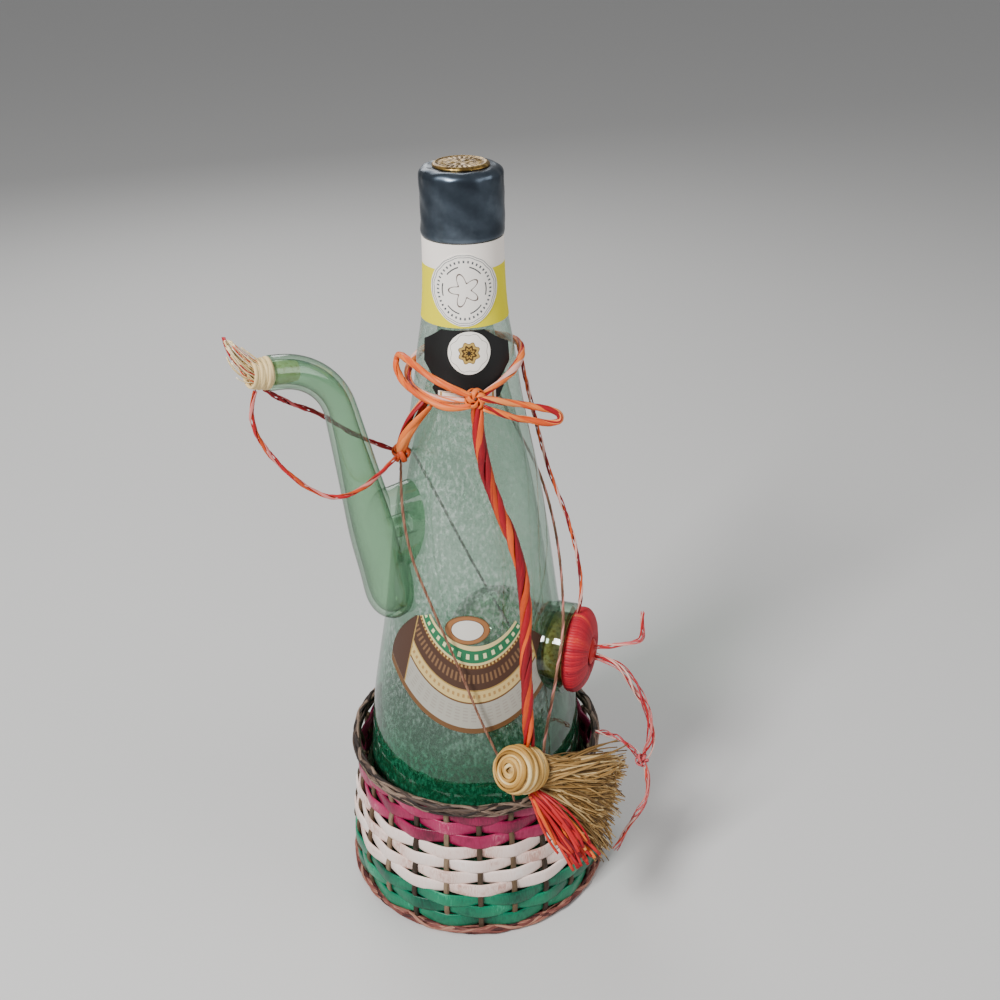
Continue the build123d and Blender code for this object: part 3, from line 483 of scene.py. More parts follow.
# %% Twisted cords along the routes
CORDS = {
    # name: diameter, strands, reach, pitch, wander, width, thickness, materials by strand, slot
    "neck_tie_wrap": (3.0, 4, 0.85, 40, 0.5, 2.3, 0.9, (0, 2, 0, 1), "orange_raffia"),
    "tie_left_loop": (2.4, 4, 0.75, 36, 0.5, 2.2, 0.9, (0, 0, 0, 0), "orange_raffia"),
    "tie_right_loop": (2.4, 4, 0.75, 30, 0.5, 2.1, 0.9, (0, 0, 1, 0), "orange_raffia"),
    "knot_bundle": (5.0, 7, 2.1, 90, 0.35, 2.2, 0.9, (0, 0, 0, 0, 0, 1, 0), "orange_raffia"),
    "front_stay": (1.6, 3, 0.32, 7, 0.0, 0.72, 0.6, (3, 3, 3), "brown_cord"),
    "back_stay": (1.6, 3, 0.36, 7, 0.0, 0.95, 0.7, (3, 3, 3), "brown_cord"),
    "right_stay": (1.6, 3, 0.36, 12, 0.3, 0.85, 0.5, (3, 2, 3), "brown_cord"),
    "cap_cord": (2.0, 3, 0.6, 22, 0.4, 1.0, 0.5, (0, 1, 2), "red_raffia"),
    "spout_tether_front": (2.2, 3, 0.62, 24, 0.6, 1.2, 0.5, (1, 2, 0), "red_raffia"),
    "spout_tether_rear": (2.2, 3, 0.62, 22, 0.6, 1.2, 0.5, (1, 1, 2), "red_raffia"),
    "cap_bunch": (4.0, 7, 1.35, 46, 0.8, 0.85, 0.45, (2, 2, 1, 2, 2, 1, 2), "red_raffia"),
    "cap_bunch_rim_branch": (2.8, 5, 0.9, 30, 0.8, 0.8, 0.4, (2, 1, 2, 2, 2), "red_raffia"),
    "cap_bunch_low_branch": (2.8, 5, 0.95, 34, 0.8, 0.8, 0.4, (2, 2, 1, 2, 2), "red_raffia"),
    "cap_cut_end": (2.4, 4, 0.75, 26, 0.7, 0.9, 0.45, (2, 1, 2, 2), "red_raffia"),
    "tassel_rope": (4.6, 5, 1.6, 44, 0.3, 2.8, 1.7, (1, 0, 1, 1, 0), "red_raffia"),
}
FOLLOWS = {
    # a cord between two bodies: the second body, and the line's ends on the first and the second one
    "spout_tether_front": ("spout_stopper", -1, 0), "spout_tether_rear": ("spout_stopper", -1, 0),
    "cap_cord": ("pocket_cap", 0, -1),
}
cord_fibres = (orange_raffia, red_raffia, pink_raffia, brown_cord)
for name, (_, count, reach, pitch, wander, width, thick, which, slot) in CORDS.items():
    line = lines[name]
    centres, outward = twisted(line, count, reach * MM, pitch * MM, wander)
    piece = strips(name + "_strands", centres, outward, width * MM * ends_taper(len(line)), thick * MM,
                   finishes=which, square=0.8)
    follows = None
    if name in FOLLOWS:
        body, first, last = FOLLOWS[name]
        follows = (body, line[first], line[last])
    finish_piece(piece, name, cord_fibres, follows)

# %% [markdown]
# ## Knots
# A knot in flat raffia is a few turns pulled over each other. A round lump would look like a bead,
# and a simulated knot is more than a small knot needs. A torus knot is one closed line that looks
# the same: it winds p times round its hole while it turns q times round the tube.

# %% Three knots from torus-knot lines
KNOT_RING, KNOT_TUBE, KNOT_RISE = 0.56, 0.32, 0.5
KNOTS = {
    # node: middle, radius, p, q, width, thickness, axis, fibre, slot
    "tie_knot": (
        (3.0, -25.0, 247.5), 4.3, 3, 5, 2.2, 0.9, (0.2, -1, 0.3), orange_raffia, "orange_raffia"),
    "side_knot": (
        (-26.4, -16.6, 221.7), 4.3, 3, 4, 2.2, 0.9, (-1, -0.6, 0.3), orange_raffia, "orange_raffia"),
    "bunch_knot": (
        (72.2, -35.2, 77.6), 3.2, 2, 5, 1.3, 0.6, (0.3, -1, 0.2), pink_raffia, "red_raffia"),
}


def knot(name, centre, radius, p, q, width, thick, axis, stations=240):
    """A closed strip on a torus knot.

    The distance from the axis is radius * (0.56 + 0.32 cos(q t)), the height along the axis is
    0.5 * radius * sin(q t) and the angle about it is p t, with t once round.
    """
    t = np.arange(stations) * 2 * np.pi / stations
    ring = radius * (KNOT_RING + KNOT_TUBE * np.cos(q * t))
    flat = np.stack([ring * np.cos(p * t), ring * np.sin(p * t), radius * KNOT_RISE * np.sin(q * t)], axis=-1)
    up = unit(axis)
    side = unit(np.cross(up, (0.31, 0.9, 0.2)))
    placed = flat @ np.stack([side, np.cross(up, side), up])
    return strips(name, (np.array(centre) + placed)[None] * MM, unit(placed)[None], width * MM, thick * MM,
                  closed=True, square=0.8)


for node, (*shape, fibre, slot) in KNOTS.items():
    finish_piece(knot(node + "_turns", *shape), node, (fibre,))

# %% [markdown]
# ## The basket's rows
# Flat strips of cane pass before one stake and behind the next, and every row starts one stake
# further on. A checked texture on a band would look flat at its edge, so each row is a real strip
# that swings out and in. It is crowned on its face and squeezed where it dives behind a stake.
# Dyed cane keeps its hard glossy skin, so it is smoother than raffia, with long streaks of dye.

# %% Woven rows of flat cane
STAKES = 24
STAKE_LINE = np.array([(57.9, 4.2), (58.5, 21.0), (56.0, 40.0), (53.2, 58.0), (53.4, 67.6)])
FIRST_ROW, ROW_PITCH = 7.35, 6.3
CANE_WIDTH, CANE_THICK, CANE_SQUEEZE, CANE_SWING = 7.0, 1.5, 2.0, 0.85
BANDS = [
    # colour, first row, rows, name of the cane, colours from deep dye to worn skin
    ("green", 0, 3, "emerald dyed cane",
     [(0.0, "#023E2E"), (0.4, "#036A4C"), (0.8, "#05825C"), (1.0, "#3AA880")]),
    ("white", 3, 4, "pinkish white cane",
     [(0.0, "#C99A8C"), (0.3, "#EFD5CA"), (0.8, "#F8E6DE"), (1.0, "#FFF6F0")]),
    ("red", 7, 3, "raspberry dyed cane",
     [(0.0, "#600C2C"), (0.4, "#941648"), (0.8, "#A82C5A"), (1.0, "#C46A80")]),
]


def rows(color, first, count, fibre):
    """Rows of cane that swing before one stake and behind the next.

    The swing is a softened triangle wave, arcsin(0.96 cos(12 a)), so the cane runs straight from stake
    to stake and bends at them. Its width falls with the fourth power of how far behind the stakes it is.
    """
    angle = np.arange(STAKES * 16) * 2 * np.pi / (STAKES * 16)
    row = np.arange(first, first + count)[:, None]
    wave = np.arcsin(0.96 * np.cos(angle * STAKES / 2)) / math.asin(0.96) * np.where(row % 2, 1, -1)
    level = FIRST_ROW + ROW_PITCH * row
    radius = np.interp(level, STAKE_LINE[:, 1], STAKE_LINE[:, 0]) + CANE_SWING * wave
    height = level + 0.2 * np.sin(3 * angle + row) + 0.2 * np.sin(11 * angle + 2.3 * row)
    centres = np.stack([radius * np.cos(angle), radius * np.sin(angle), height], axis=-1) * MM
    outward = np.stack([np.cos(angle), np.sin(angle), 0 * angle], axis=-1)[None] + 0 * centres
    behind = (1 - wave) / 2
    width = (CANE_WIDTH + 0.2 * np.sin(7 * angle + 1.7 * row) - CANE_SQUEEZE * behind ** 4) * MM
    shade = 0.45 + 0.25 * np.sin(5 * angle + 2.1 * row) + 0.12 * np.sin(17 * angle + row)
    piece = strips("cane_rows_" + color, centres, outward, width, CANE_THICK * MM, sides=16, closed=True,
                   tint=shade, square=0.7)
    finish_piece(piece, "basket_weave_" + color, (fibre,))


for color, first, count, name, stops in BANDS:
    rows(color, first, count, strip_material(name, stops, 0.4, roughness=0.32, bump_mm=0.08, streaks=0.5))

# %% [markdown]
# ## The stakes
# Upright willow rods carry the rows. A rod is not stiff: it gives a little away from each strip that
# presses on it. Straight rods would cut the cane, so each follows a cosine that leans away from
# every row in turn. Peeled willow is dull, so it is rougher than the cane.

# %% Stakes that give way to the rows
STAKE_GIVE = 0.7
stake_height = np.linspace(1.2, 69.0, 120)
stake_angle = np.arange(STAKES)[:, None] * 2 * np.pi / STAKES
side = np.where(np.arange(STAKES)[:, None] % 2, -1, 1)
give = STAKE_GIVE * side * np.cos(np.pi * (stake_height - FIRST_ROW) / ROW_PITCH)
give = give * np.clip((stake_height - 4) / 3, 0, 1)
stake_radius = np.interp(stake_height, STAKE_LINE[:, 1], STAKE_LINE[:, 0]) + give
stake_out = np.stack([np.cos(stake_angle) + 0 * give, np.sin(stake_angle) + 0 * give, 0 * give], axis=-1)
stake_lines = stake_out * stake_radius[..., None] + stake_height[:, None] * np.array([0, 0, 1.0])
stakes = strips("willow_stakes", stake_lines * MM, stake_out, 2.4 * MM, 1.7 * MM, sides=10, square=0.7)
# brown willow: dull bark with a soft grain
stake_cane = strip_material(
    "brown willow", [(0.0, "#261A12"), (0.4, "#463626"), (0.8, "#64503A"), (1.0, "#84705A")], roughness=0.6)
finish_piece(stakes, "basket_stakes", (stake_cane,))

# %% [markdown]
# ## Rim and foot
# A plait of dark split cane closes the top of the basket, and a thinner red-brown one hides the edge
# of its floor. A twisted tube could stand in, but it has no gaps between its strands. Here half of
# the strands wind each way round a level ring, so that they cross as in a hand-made plait.

# %% Twisted rim and foot border
def plait(name, node, fibre, radius, height, across_mm, up_mm, count, turns):
    """Split strands that wind round a level ring, half of them each way, with a slow uneven sway.

    A strand's place on the oval tube is (across cos b, up sin b), and b turns as it goes round the ring.
    """
    a = np.arange(720) * 2 * np.pi / 720
    i = np.arange(count)[:, None]
    way = np.where(i % 2, 1, -1)
    b = way * (turns * a + i * 2 * np.pi / count + 0.5 * np.sin(9 * a + i * 2.4))
    loose = 1 + 0.10 * np.sin(23 * a + i * 1.9) + 0.12 * (i % 3 - 1)
    ring = radius + across_mm * loose * np.cos(b)
    centres = np.stack([ring * np.cos(a), ring * np.sin(a), height + up_mm * loose * np.sin(b)], axis=-1) * MM
    out = np.stack([np.cos(b) * np.cos(a), np.cos(b) * np.sin(a), np.sin(b)], axis=-1)
    piece = strips(name, centres, out, 1.6 * MM, 0.8 * MM, sides=6, closed=True, square=0.8)
    finish_piece(piece, node, (fibre,))


# split cane: a matt inner face with deep ribs, dark at the rim and redder at the foot
dark_cane = strip_material(
    "dark split cane", [(0.0, "#201814"), (0.4, "#3C2E27"), (0.8, "#5E4C40"), (1.0, "#8A7464")],
    streak_mm=0.3, roughness=0.6, bump_mm=0.15, streaks=0.6)
foot_cane = strip_material(
    "red-brown split cane", [(0.0, "#34181A"), (0.4, "#5E2E2A"), (0.8, "#8A5046"), (1.0, "#AC7C68")],
    streak_mm=0.3, roughness=0.6, bump_mm=0.15, streaks=0.6)
plait("rim_plait", "basket_rim", dark_cane, 55.3, 69.9, 1.35, 2.35, 18, 6)
plait("foot_plait", "basket_foot_border", foot_cane, 58.7, 2.2, 1.5, 1.25, 10, 9)

# %% [markdown]
# ## The cap of the ice pocket
# One strip of raffia goes over the edge of a ring and back through its middle, 88 times, and each
# turn lies next to the last one. Copies of one turn would all look alike, and they would not join.
# One long line that goes round the ring's section as it goes round the cap is how it is wound.

# %% The wound cap
CAP_TURNS, TURN_STATIONS = 88, 26
CAP_BACK, CAP_FRONT, CAP_DOME = 44.2, 50.8, 4.0
CAP_RADIUS, HUB_RADIUS = 18.7, 5.2
cap_side = np.array([0.0, 0.0, 1.0])
cap_across = np.cross(hub_dir, cap_side)


def in_cap(radius, angle, height):
    """A place on the cap from its radius and angle about the cap's axis and its distance along that axis."""
    flat = np.cos(angle)[..., None] * cap_across + np.sin(angle)[..., None] * cap_side
    return radius[..., None] * flat + height[..., None] * hub_dir + (0, 0, HUB_Z)


loop = np.arange(CAP_TURNS * TURN_STATIONS + 1) / TURN_STATIONS * 2 * np.pi
cos_loop, sin_loop = (np.sign(f(loop)) * np.abs(f(loop)) ** 0.62 for f in (np.cos, np.sin))
cap_r = (CAP_RADIUS + HUB_RADIUS) / 2 + (CAP_RADIUS - HUB_RADIUS - 0.7) / 2 * cos_loop
dome = CAP_FRONT + CAP_DOME * (1 - ((cap_r - HUB_RADIUS) / (CAP_RADIUS - HUB_RADIUS)) ** 2)
cap_h = (dome + CAP_BACK + 0.3) / 2 + (dome - CAP_BACK - 0.7) / 2 * sin_loop
cap_turn = loop / CAP_TURNS
tint_by_turn = random.random(CAP_TURNS + 1)
# painted light: the share of the way up the cap's face, 0 at its foot and 1 at its top
painted_top_light = (cap_r * np.sin(cap_turn) / CAP_RADIUS + 1) / 2
cap_line = in_cap(cap_r, cap_turn, cap_h)[None] * MM
middle = in_cap(np.full_like(cap_r, 12.0), cap_turn, np.full_like(cap_r, 48.0))[None] * MM
cap_tone_and_top_light = np.interp(loop / (2 * np.pi), np.arange(CAP_TURNS + 1), tint_by_turn)[None] * 0.62
# painted highlight: the upper turns move towards the orange end of the ramp, as if lit from above
cap_tone_and_top_light = cap_tone_and_top_light + 0.3 * painted_top_light[None] ** 3
turn_width = (cap_r * 2 * np.pi / CAP_TURNS * 1.25)[None] * MM
cap = strips("cap_turns", cap_line, unit(cap_line - middle), turn_width, 0.5 * MM, sides=6, tint=cap_tone_and_top_light)
# crimson raffia, each turn in a shade of its own; the orange towards the top is painted light, a painted
# highlight as if lit from above
cap_raffia_and_top_light = strip_material("crimson raffia with painted top light", [
    (0.0, "#7A0A20"), (0.4, "#B00F28"), (0.72, "#C41C2C"), (0.88, "#DE5230"), (1.0, "#EE8A4A")], streaks=0.3)
finish_piece(cap, "cap_winding", (cap_raffia_and_top_light,))

# %% [markdown]
# ## The cap's button
# In the middle the turns are tied down with a small coil. A disc would hide how it is made, so it
# is a spiral that rises a little towards its centre.

# %% The coiled button
BUTTON_TURNS, BUTTON_BACK, BUTTON_RISE = 5.5, 53.3, 1.9
t = np.linspace(0, 1, 260)
button_r = HUB_RADIUS * (1 - t) ** 0.8 + 0.15
button_line = in_cap(button_r, 2 * np.pi * BUTTON_TURNS * t, BUTTON_BACK + BUTTON_RISE * np.sqrt(t))
button = strips("cap_button_turns", button_line[None] * MM, hub_dir[None, None], 1.5 * MM, 0.9 * MM)
finish_piece(button, "cap_button", (red_raffia,))

# %% [markdown]
# ## The tassel's head
# The head is straw wound into a drum, with a flat spiral at its front. It is one strand, so it is one
# strip here too: first the spiral, then the turns round the drum. Small sines move the strand off
# its exact course, because a perfect coil would look machined.

# %% The wound head
HEAD_AT = np.array([18.5, -58.5, 95.3])
HEAD_DIR = unit((0.653, 0.612, -0.474))
HEAD_HALF = 7.5
SPIRAL_TURNS, DRUM_TURNS, STRAND = 5.5, 11.0, 1.45
SPIRAL_FROM, SPIRAL_GROWTH, DRUM_DEPTH = 1.6, 6.7, 13.9
head_u = unit(np.cross(HEAD_DIR, (0, 0, 1)))
head_v = np.cross(HEAD_DIR, head_u)


def in_head(radius, angle, depth):
    """A place on the head from its radius, its angle about the head's axis and its depth behind the front."""
    flat = np.cos(angle)[..., None] * head_u + np.sin(angle)[..., None] * head_v
    return HEAD_AT + radius[..., None] * flat + (depth[..., None] - HEAD_HALF) * HEAD_DIR


spiral = np.linspace(0, SPIRAL_TURNS, int(SPIRAL_TURNS * 40))
drum = np.linspace(0, DRUM_TURNS, int(DRUM_TURNS * 40))[1:]
drum_depth = 0.3 + drum * DRUM_DEPTH / DRUM_TURNS
drum_radius = np.interp(drum_depth, [0, 1.2, 7.5, 15], [8.3, 9.3, 9.4, 8.5])
radius = np.concatenate([SPIRAL_FROM + spiral * SPIRAL_GROWTH / SPIRAL_TURNS, drum_radius])
depth = np.concatenate([-0.55 - 0.5 * np.cos(spiral / SPIRAL_TURNS * np.pi / 2), drum_depth])
angle = 2 * np.pi * np.concatenate([spiral, SPIRAL_TURNS + drum])
radius = radius + 0.22 * np.sin(angle * 1.37) + 0.15 * np.sin(angle * 2.71)
depth = depth + 0.25 * np.sin(angle * 0.83 + 1) + 0.15 * np.sin(angle * 1.93)
head_line = in_head(radius, angle, depth)
head_out = unit(head_line - in_head(radius * 0, angle, np.clip(depth + 3, 3, 12)))
head_wave = 0.5 + 0.32 * np.sin(angle * 0.37) + 0.18 * np.sin(angle * 1.9)
head = strips("tassel_head_turns", head_line[None] * MM, head_out[None], STRAND * 1.25 * MM,
              STRAND * 0.8 * MM, tint=head_wave[None])
finish_piece(head, "tassel_winding", (straw_fibre,))

# %% [markdown]
# ## The tassel's skirt and tuft
# The skirt is a brush of several hundred straws cut uneven, and a few red and orange strips hang
# below. Blender's hair could grow them, but hair exports badly and follows no record. So each straw
# is a strip from a small disc to a wide oval: its place on both comes from a sunflower pattern, which
# fills a disc evenly, and its length, bow and aim from a normal spread.

# %% The straw skirt
SKIRT_STRAWS, TUFT_STRIPS = 900, 56
GOLDEN_ANGLE = np.pi * (3 - math.sqrt(5))


def brush_lines(count, root, root_axes, root_reach, tip, tip_axes, sag, stations, reach, bow):
    """Centre lines that fan from a small disc to a wide oval, each bowed a little and cut at its own length.

    Point s on a line is start + (end - start) s + bend 2 s (1 - s) + sag s ^ 2.
    """
    share = np.sqrt((np.arange(count) + 0.5) / count)
    turn = np.arange(count) * GOLDEN_ANGLE
    u, v = share * np.cos(turn), share * np.sin(turn)
    start = root + root_reach * (u[:, None] * root_axes[0] + v[:, None] * root_axes[1])
    jitter = random.normal(0, 0.10, (count, 2))
    end = tip + (u + jitter[:, 0])[:, None] * tip_axes[0] + (v + jitter[:, 1])[:, None] * tip_axes[1]
    s = np.linspace(0, 1, stations)[None, :, None] * random.uniform(*reach, count)[:, None, None]
    bend = random.normal(0, bow, (count, 3))[:, None] * (s * (1 - s)) * 2
    return start[:, None] + (end - start)[:, None] * s + bend + np.array(sag) * s ** 2


skirt = brush_lines(
    SKIRT_STRAWS, HEAD_AT + HEAD_DIR * 7.2, (head_u, head_v), 7.8, np.array([58.5, -52.0, 69.0]),
    (np.array([6.0, 14.0, 18.5]), np.array([-4.5, -5.0, 4.5])), (0, 0, -1.5), 9, (0.72, 1.02), 4.2)
straw_taper = np.interp(np.linspace(0, 1, 9), [0, 0.7, 1], [1, 0.9, 0.45])
straw_width = random.uniform(0.8, 1.8, (SKIRT_STRAWS, 1)) * straw_taper * MM
skirt_piece = strips("tassel_skirt_straws", skirt * MM, np.array([0.0, 0.0, 1.0]), straw_width, 0.45 * MM,
                     sides=5)
# dry straw: brown, matt and uneven from stem to stem
dry_straw = strip_material(
    "dry brown straw", [(0.0, "#5E4424"), (0.35, "#94703C"), (0.7, "#B99258"), (1.0, "#DCC08A")],
    roughness=0.6)
finish_piece(skirt_piece, "tassel_skirt", (dry_straw,))

# %% The raffia tuft below the head
tuft_out = unit((0.30, -0.45, -0.84))
tuft = brush_lines(
    TUFT_STRIPS, HEAD_AT + HEAD_DIR * 1.8 + tuft_out * 10.6, (unit((0.6, 0.7, 0.2)), unit((-0.5, 0.6, 0.5))),
    2.4, np.array([42.5, -76.0, 63.5]), (np.array([2.8, -2.6, 5.2]), np.array([4.4, 2.6, 1.6])),
    (0, 0, -2.0), 14, (0.6, 1.1), 4.0)
tuft_width = random.uniform(0.8, 1.5, (TUFT_STRIPS, 1)) * MM
tuft_piece = strips("tassel_tuft_strips", tuft * MM, np.array([0.3, -1.0, 0.4]), tuft_width, 0.3 * MM,
                    sides=6, finishes=random.choice([0, 1, 1, 1], TUFT_STRIPS))
finish_piece(tuft_piece, "tassel_tuft", (orange_raffia, red_raffia, pink_raffia))

# %% [markdown]
# ## The spout's stopper
# The cork in the spout's mouth is bound with cream straw, and the bound straws stick out past it as
# a small brush, like a candle's wick. The binding is a cone of turns in one strip, and the brush is
# the tassel's brush again, finer and shorter.

# %% Binding and straw tuft
BINDING_TURNS, WICK_STRAWS = 7.0, 90
mouth_side = unit(np.cross(mouth_dir, (0, 0, 1)))
mouth_up = np.cross(mouth_side, mouth_dir)
# cream straw: bleached, nearly white on its skin
cream_fibre = strip_material(
    "cream straw", [(0.0, "#C9A76A"), (0.4, "#E8D09A"), (0.8, "#F4E6C2"), (1.0, "#FFF6E0")], roughness=0.55)
turn = np.linspace(0, BINDING_TURNS, 300)
wrap_r = 5.5 - 0.14 * turn + 0.15 * np.sin(turn * 9)
wrap_from = mouth_at + mouth_dir * (0.9 + turn[:, None] * 0.95 + 0.2 * np.sin(turn[:, None] * 4))
wrap = wrap_from + wrap_r[:, None] * (
    np.cos(2 * np.pi * turn)[:, None] * mouth_side + np.sin(2 * np.pi * turn)[:, None] * mouth_up)
binding = strips("stopper_binding_turns", wrap[None] * MM, unit(wrap - wrap_from)[None], 1.6 * MM, 1.0 * MM)
finish_piece(binding, "stopper_binding", (cream_fibre,))
wick = brush_lines(
    WICK_STRAWS, mouth_at + mouth_dir * 2.4, (mouth_side, mouth_up), 4.2,
    mouth_at + mouth_dir * 14.5 + (0, 0, 0.5), (mouth_side * 1.6, mouth_up * 2.8),
    (-1.6, 3.0, 12.0), 14, (0.45, 1.0), 2.6)
wick_width = random.uniform(0.9, 1.7, (WICK_STRAWS, 1)) * MM
wick_piece = strips("stopper_tuft_straws", wick * MM, np.array([0.0, 0.2, 1.0]), wick_width, 0.4 * MM,
                    sides=6, finishes=random.choice([0, 0, 0, 0, 0, 0, 0, 1], WICK_STRAWS))
finish_piece(wick_piece, "stopper_tuft", (cream_fibre, red_raffia))

# %% [markdown]
# ## Glass
# Thin blown glass hardly bends what lies behind it, and a real refracting wall would take the
# renderer many more samples. So each surface is a tinted film: it lets most light straight through,
# reflects more towards the edge, and takes a deeper colour there, where a look passes through more
# glass. Patchy pale flecks stand for the seeds and haze in old glass. Low down the glass is thick and
# a deep emerald.

# %% Bottle, spout and pocket glass
FLECKS_PER_M, CLOUDS_PER_M, WAVES_PER_M = 760.0, 45.0, 55.0  # flecks 1.3 mm, clouds 22 mm, waves 18 mm apart


def glass(name, clear_stops, edge_stops, haze_stops, low_stops, fleck_share, low_haze, low_mm, high_mm):
    """A film of glass: a see-through tint, mixed with white haze, mixed with a mirror.

    The mirror's share is 0.06 + 0.8 * facing to the power 4, where facing is 0 head on and 1 at the
    edge. The tint goes from clear to edge with the cube of facing. Colours and haze follow the height
    between low_mm and high_mm, and the haze is thicker by up to low_haze at its foot.
    """
    made = bpy.data.materials.new(name)
    made.use_nodes = True
    tree = made.node_tree
    tree.nodes.remove(tree.nodes["Principled BSDF"])
    where = add(tree, "TexCoord").outputs["Object"]
    level = add(tree, "SeparateXYZ", {"Vector": where}).outputs["Z"]
    height = add(tree, "MapRange", {"Value": level, "From Min": low_mm * MM, "From Max": high_mm * MM})
    facing = add(tree, "LayerWeight", {"Blend": 0.5}).outputs["Facing"]
    near_edge = add(tree, "Math", (facing, 3.0), operation="POWER")
    clear = add(tree, "ValToRGB", {"Fac": height}, clear_stops)
    edge = add(tree, "ValToRGB", {"Fac": height}, edge_stops)
    tinted = add(tree, "Mix", {"Factor": near_edge, "A": clear, "B": edge}, data_type="RGBA")
    through = add(tree, "BsdfTransparent", {"Color": tinted})

    # flecks drawn out upwards by the blowing, more of them where the clouds are
    drawn = add(tree, "Mapping", {"Vector": where, "Scale": (1.0, 1.0, 0.55)})
    flecks = add(tree, "TexNoise", {
        "Vector": drawn, "Scale": FLECKS_PER_M, "Detail": 3.0, "Roughness": 0.6, "Distortion": 0.3})
    clouds = add(tree, "TexNoise", {"Vector": where, "Scale": CLOUDS_PER_M, "Detail": 3.0})
    cloudy = add(tree, "Math", (clouds, 0.35), operation="MULTIPLY")
    summed = add(tree, "Math", (flecks, cloudy), operation="ADD")
    grain = add(tree, "Math", (summed, 0.175), operation="SUBTRACT")
    least, most = fleck_share
    speck = add(tree, "MapRange", {
        "Value": grain, "From Min": 0.44, "From Max": 0.68, "To Min": least, "To Max": most,
    }, interpolation_type="SMOOTHSTEP")
    lower = add(tree, "MapRange", {
        "Value": height, "From Min": 0.0, "From Max": 0.8, "To Min": low_haze, "To Max": 0.0})
    hazy = add(tree, "Math", (speck, lower), operation="ADD")
    tone = add(tree, "ValToRGB", {"Fac": grain}, haze_stops)
    low_tone = add(tree, "ValToRGB", {"Fac": height}, low_stops)
    paint = add(tree, "Mix", {"Factor": 1.0, "A": tone, "B": low_tone}, data_type="RGBA",
                blend_type="MULTIPLY")
    haze = add(tree, "BsdfDiffuse", {"Color": paint, "Roughness": 0.5})
    body = add(tree, "MixShader", (hazy, through, haze))

    # the blown surface is never quite flat, which breaks up its reflections
    wave = add(tree, "TexNoise", {"Vector": where, "Scale": WAVES_PER_M, "Detail": 1.0})
    bump = add(tree, "Bump", {"Height": wave, "Strength": 0.5, "Distance": 0.5 * MM})
    mirror = add(tree, "BsdfAnisotropic", {"Normal": bump, "Roughness": 0.06})
    steep = add(tree, "Math", (facing, 4.0), operation="POWER")
    shine = add(tree, "Math", (steep, 0.8, 0.06), operation="MULTIPLY_ADD")
    surface = add(tree, "MixShader", (shine, body, mirror))
    feed(tree, tree.nodes["Material Output"], {"Surface": surface})
    return made


# blown glass of the body: nearly clear and grey-green above, hazy, deep emerald in the thick foot
bottle_glass = glass(
    "grey-green blown glass", [(0.0, "#BCE8D2"), (0.5, "#B4DECA"), (0.8, "#DCEBE2"), (1.0, "#E6F1EA")],
    [(0.0, "#2F8A60"), (0.6, "#69B08E"), (1.0, "#9DC0AE")],
    [(0.40, "#94AC9E"), (0.5, "#B8CABF"), (0.64, "#F6FCF8")],
    [(0.0, "#14805A"), (0.5, "#3A9A74"), (0.85, "#FFFFFF")], (0.05, 0.18), 0.42, 20.0, 150.0)
# drawn glass of the spout and pocket: cleaner, with dark green edges
spout_glass = glass(
    "green blown glass", [(0.0, "#DDEFE0"), (1.0, "#DDEFE0")], [(0.0, "#235C3C"), (1.0, "#235C3C")],
    [(0.40, "#6FA583"), (0.64, "#9CCBAA")], [(0.0, "#FFFFFF"), (1.0, "#FFFFFF")],
    (0.0, 0.03), 0.0, 0.0, 300.0)
for node in ("pouring_spout", "ice_pocket"):
    refit(node, spout_glass)
refit("glass_bottle", bottle_glass)

# %% [markdown]
# ## Foil capsule and its disc
# A capsule is thin soft metal pressed over the mouth by hand, so it is full of shallow dents, and a
# stamped disc of gilt foil lies in its top. A bump in the material would leave a perfect outline.
# Turned surfaces are exact and cheap: a profile goes round the axis, and a formula pushes each
# point in or out.

# %% Turned surfaces
def turned(name, profile, push, segments=144):
    """A closed surface of revolution from a (radius, height) profile whose two ends lie on the axis.

    push takes the angle, radius and height grids and returns small changes of radius and height.
    """
    profile = np.asarray(profile, float)
    angle = np.arange(segments) * 2 * np.pi / segments
    r, z, a = np.broadcast_arrays(profile[1:-1, :1], profile[1:-1, 1:], angle[None])
    dr, dz = push(a, r, z)
    ring = np.stack([(r + dr) * np.cos(a), (r + dr) * np.sin(a), z + dz], axis=-1).reshape(-1, 3)
    points = np.concatenate([ring, [[0, 0, profile[0, 1]], [0, 0, profile[-1, 1]]]]) * MM
    n = len(profile) - 2
    i, j = np.meshgrid(np.arange(n - 1), np.arange(segments), indexing="ij")
    k = (j + 1) % segments
    quads = np.stack([i * segments + j, (i + 1) * segments + j, (i + 1) * segments + k, i * segments + k], -1)
    j = np.arange(segments)
    k = (j + 1) % segments
    first = np.stack([np.full(segments, n * segments), j, k], -1)
    last = np.stack([(n - 1) * segments + j, np.full(segments, n * segments + 1), (n - 1) * segments + k], -1)
    mesh = bpy.data.meshes.new(name)
    mesh.from_pydata(points.tolist(), [], quads.reshape(-1, 4).tolist() + first.tolist() + last.tolist())
    mesh.shade_smooth()
    piece = bpy.data.objects.new(name, mesh)
    bpy.context.scene.collection.objects.link(piece)
    print(name, "faces:", len(mesh.polygons))
    return piece


# %% The sleeve of the capsule and its stamped disc
SLEEVE_RADIUS, SLEEVE_BORE, SLEEVE_LOW = 15.75, 15.24, 304.5
SHOULDER_Z, SLEEVE_TOP, INNER_TOP = 325.5, 328.6, 326.08


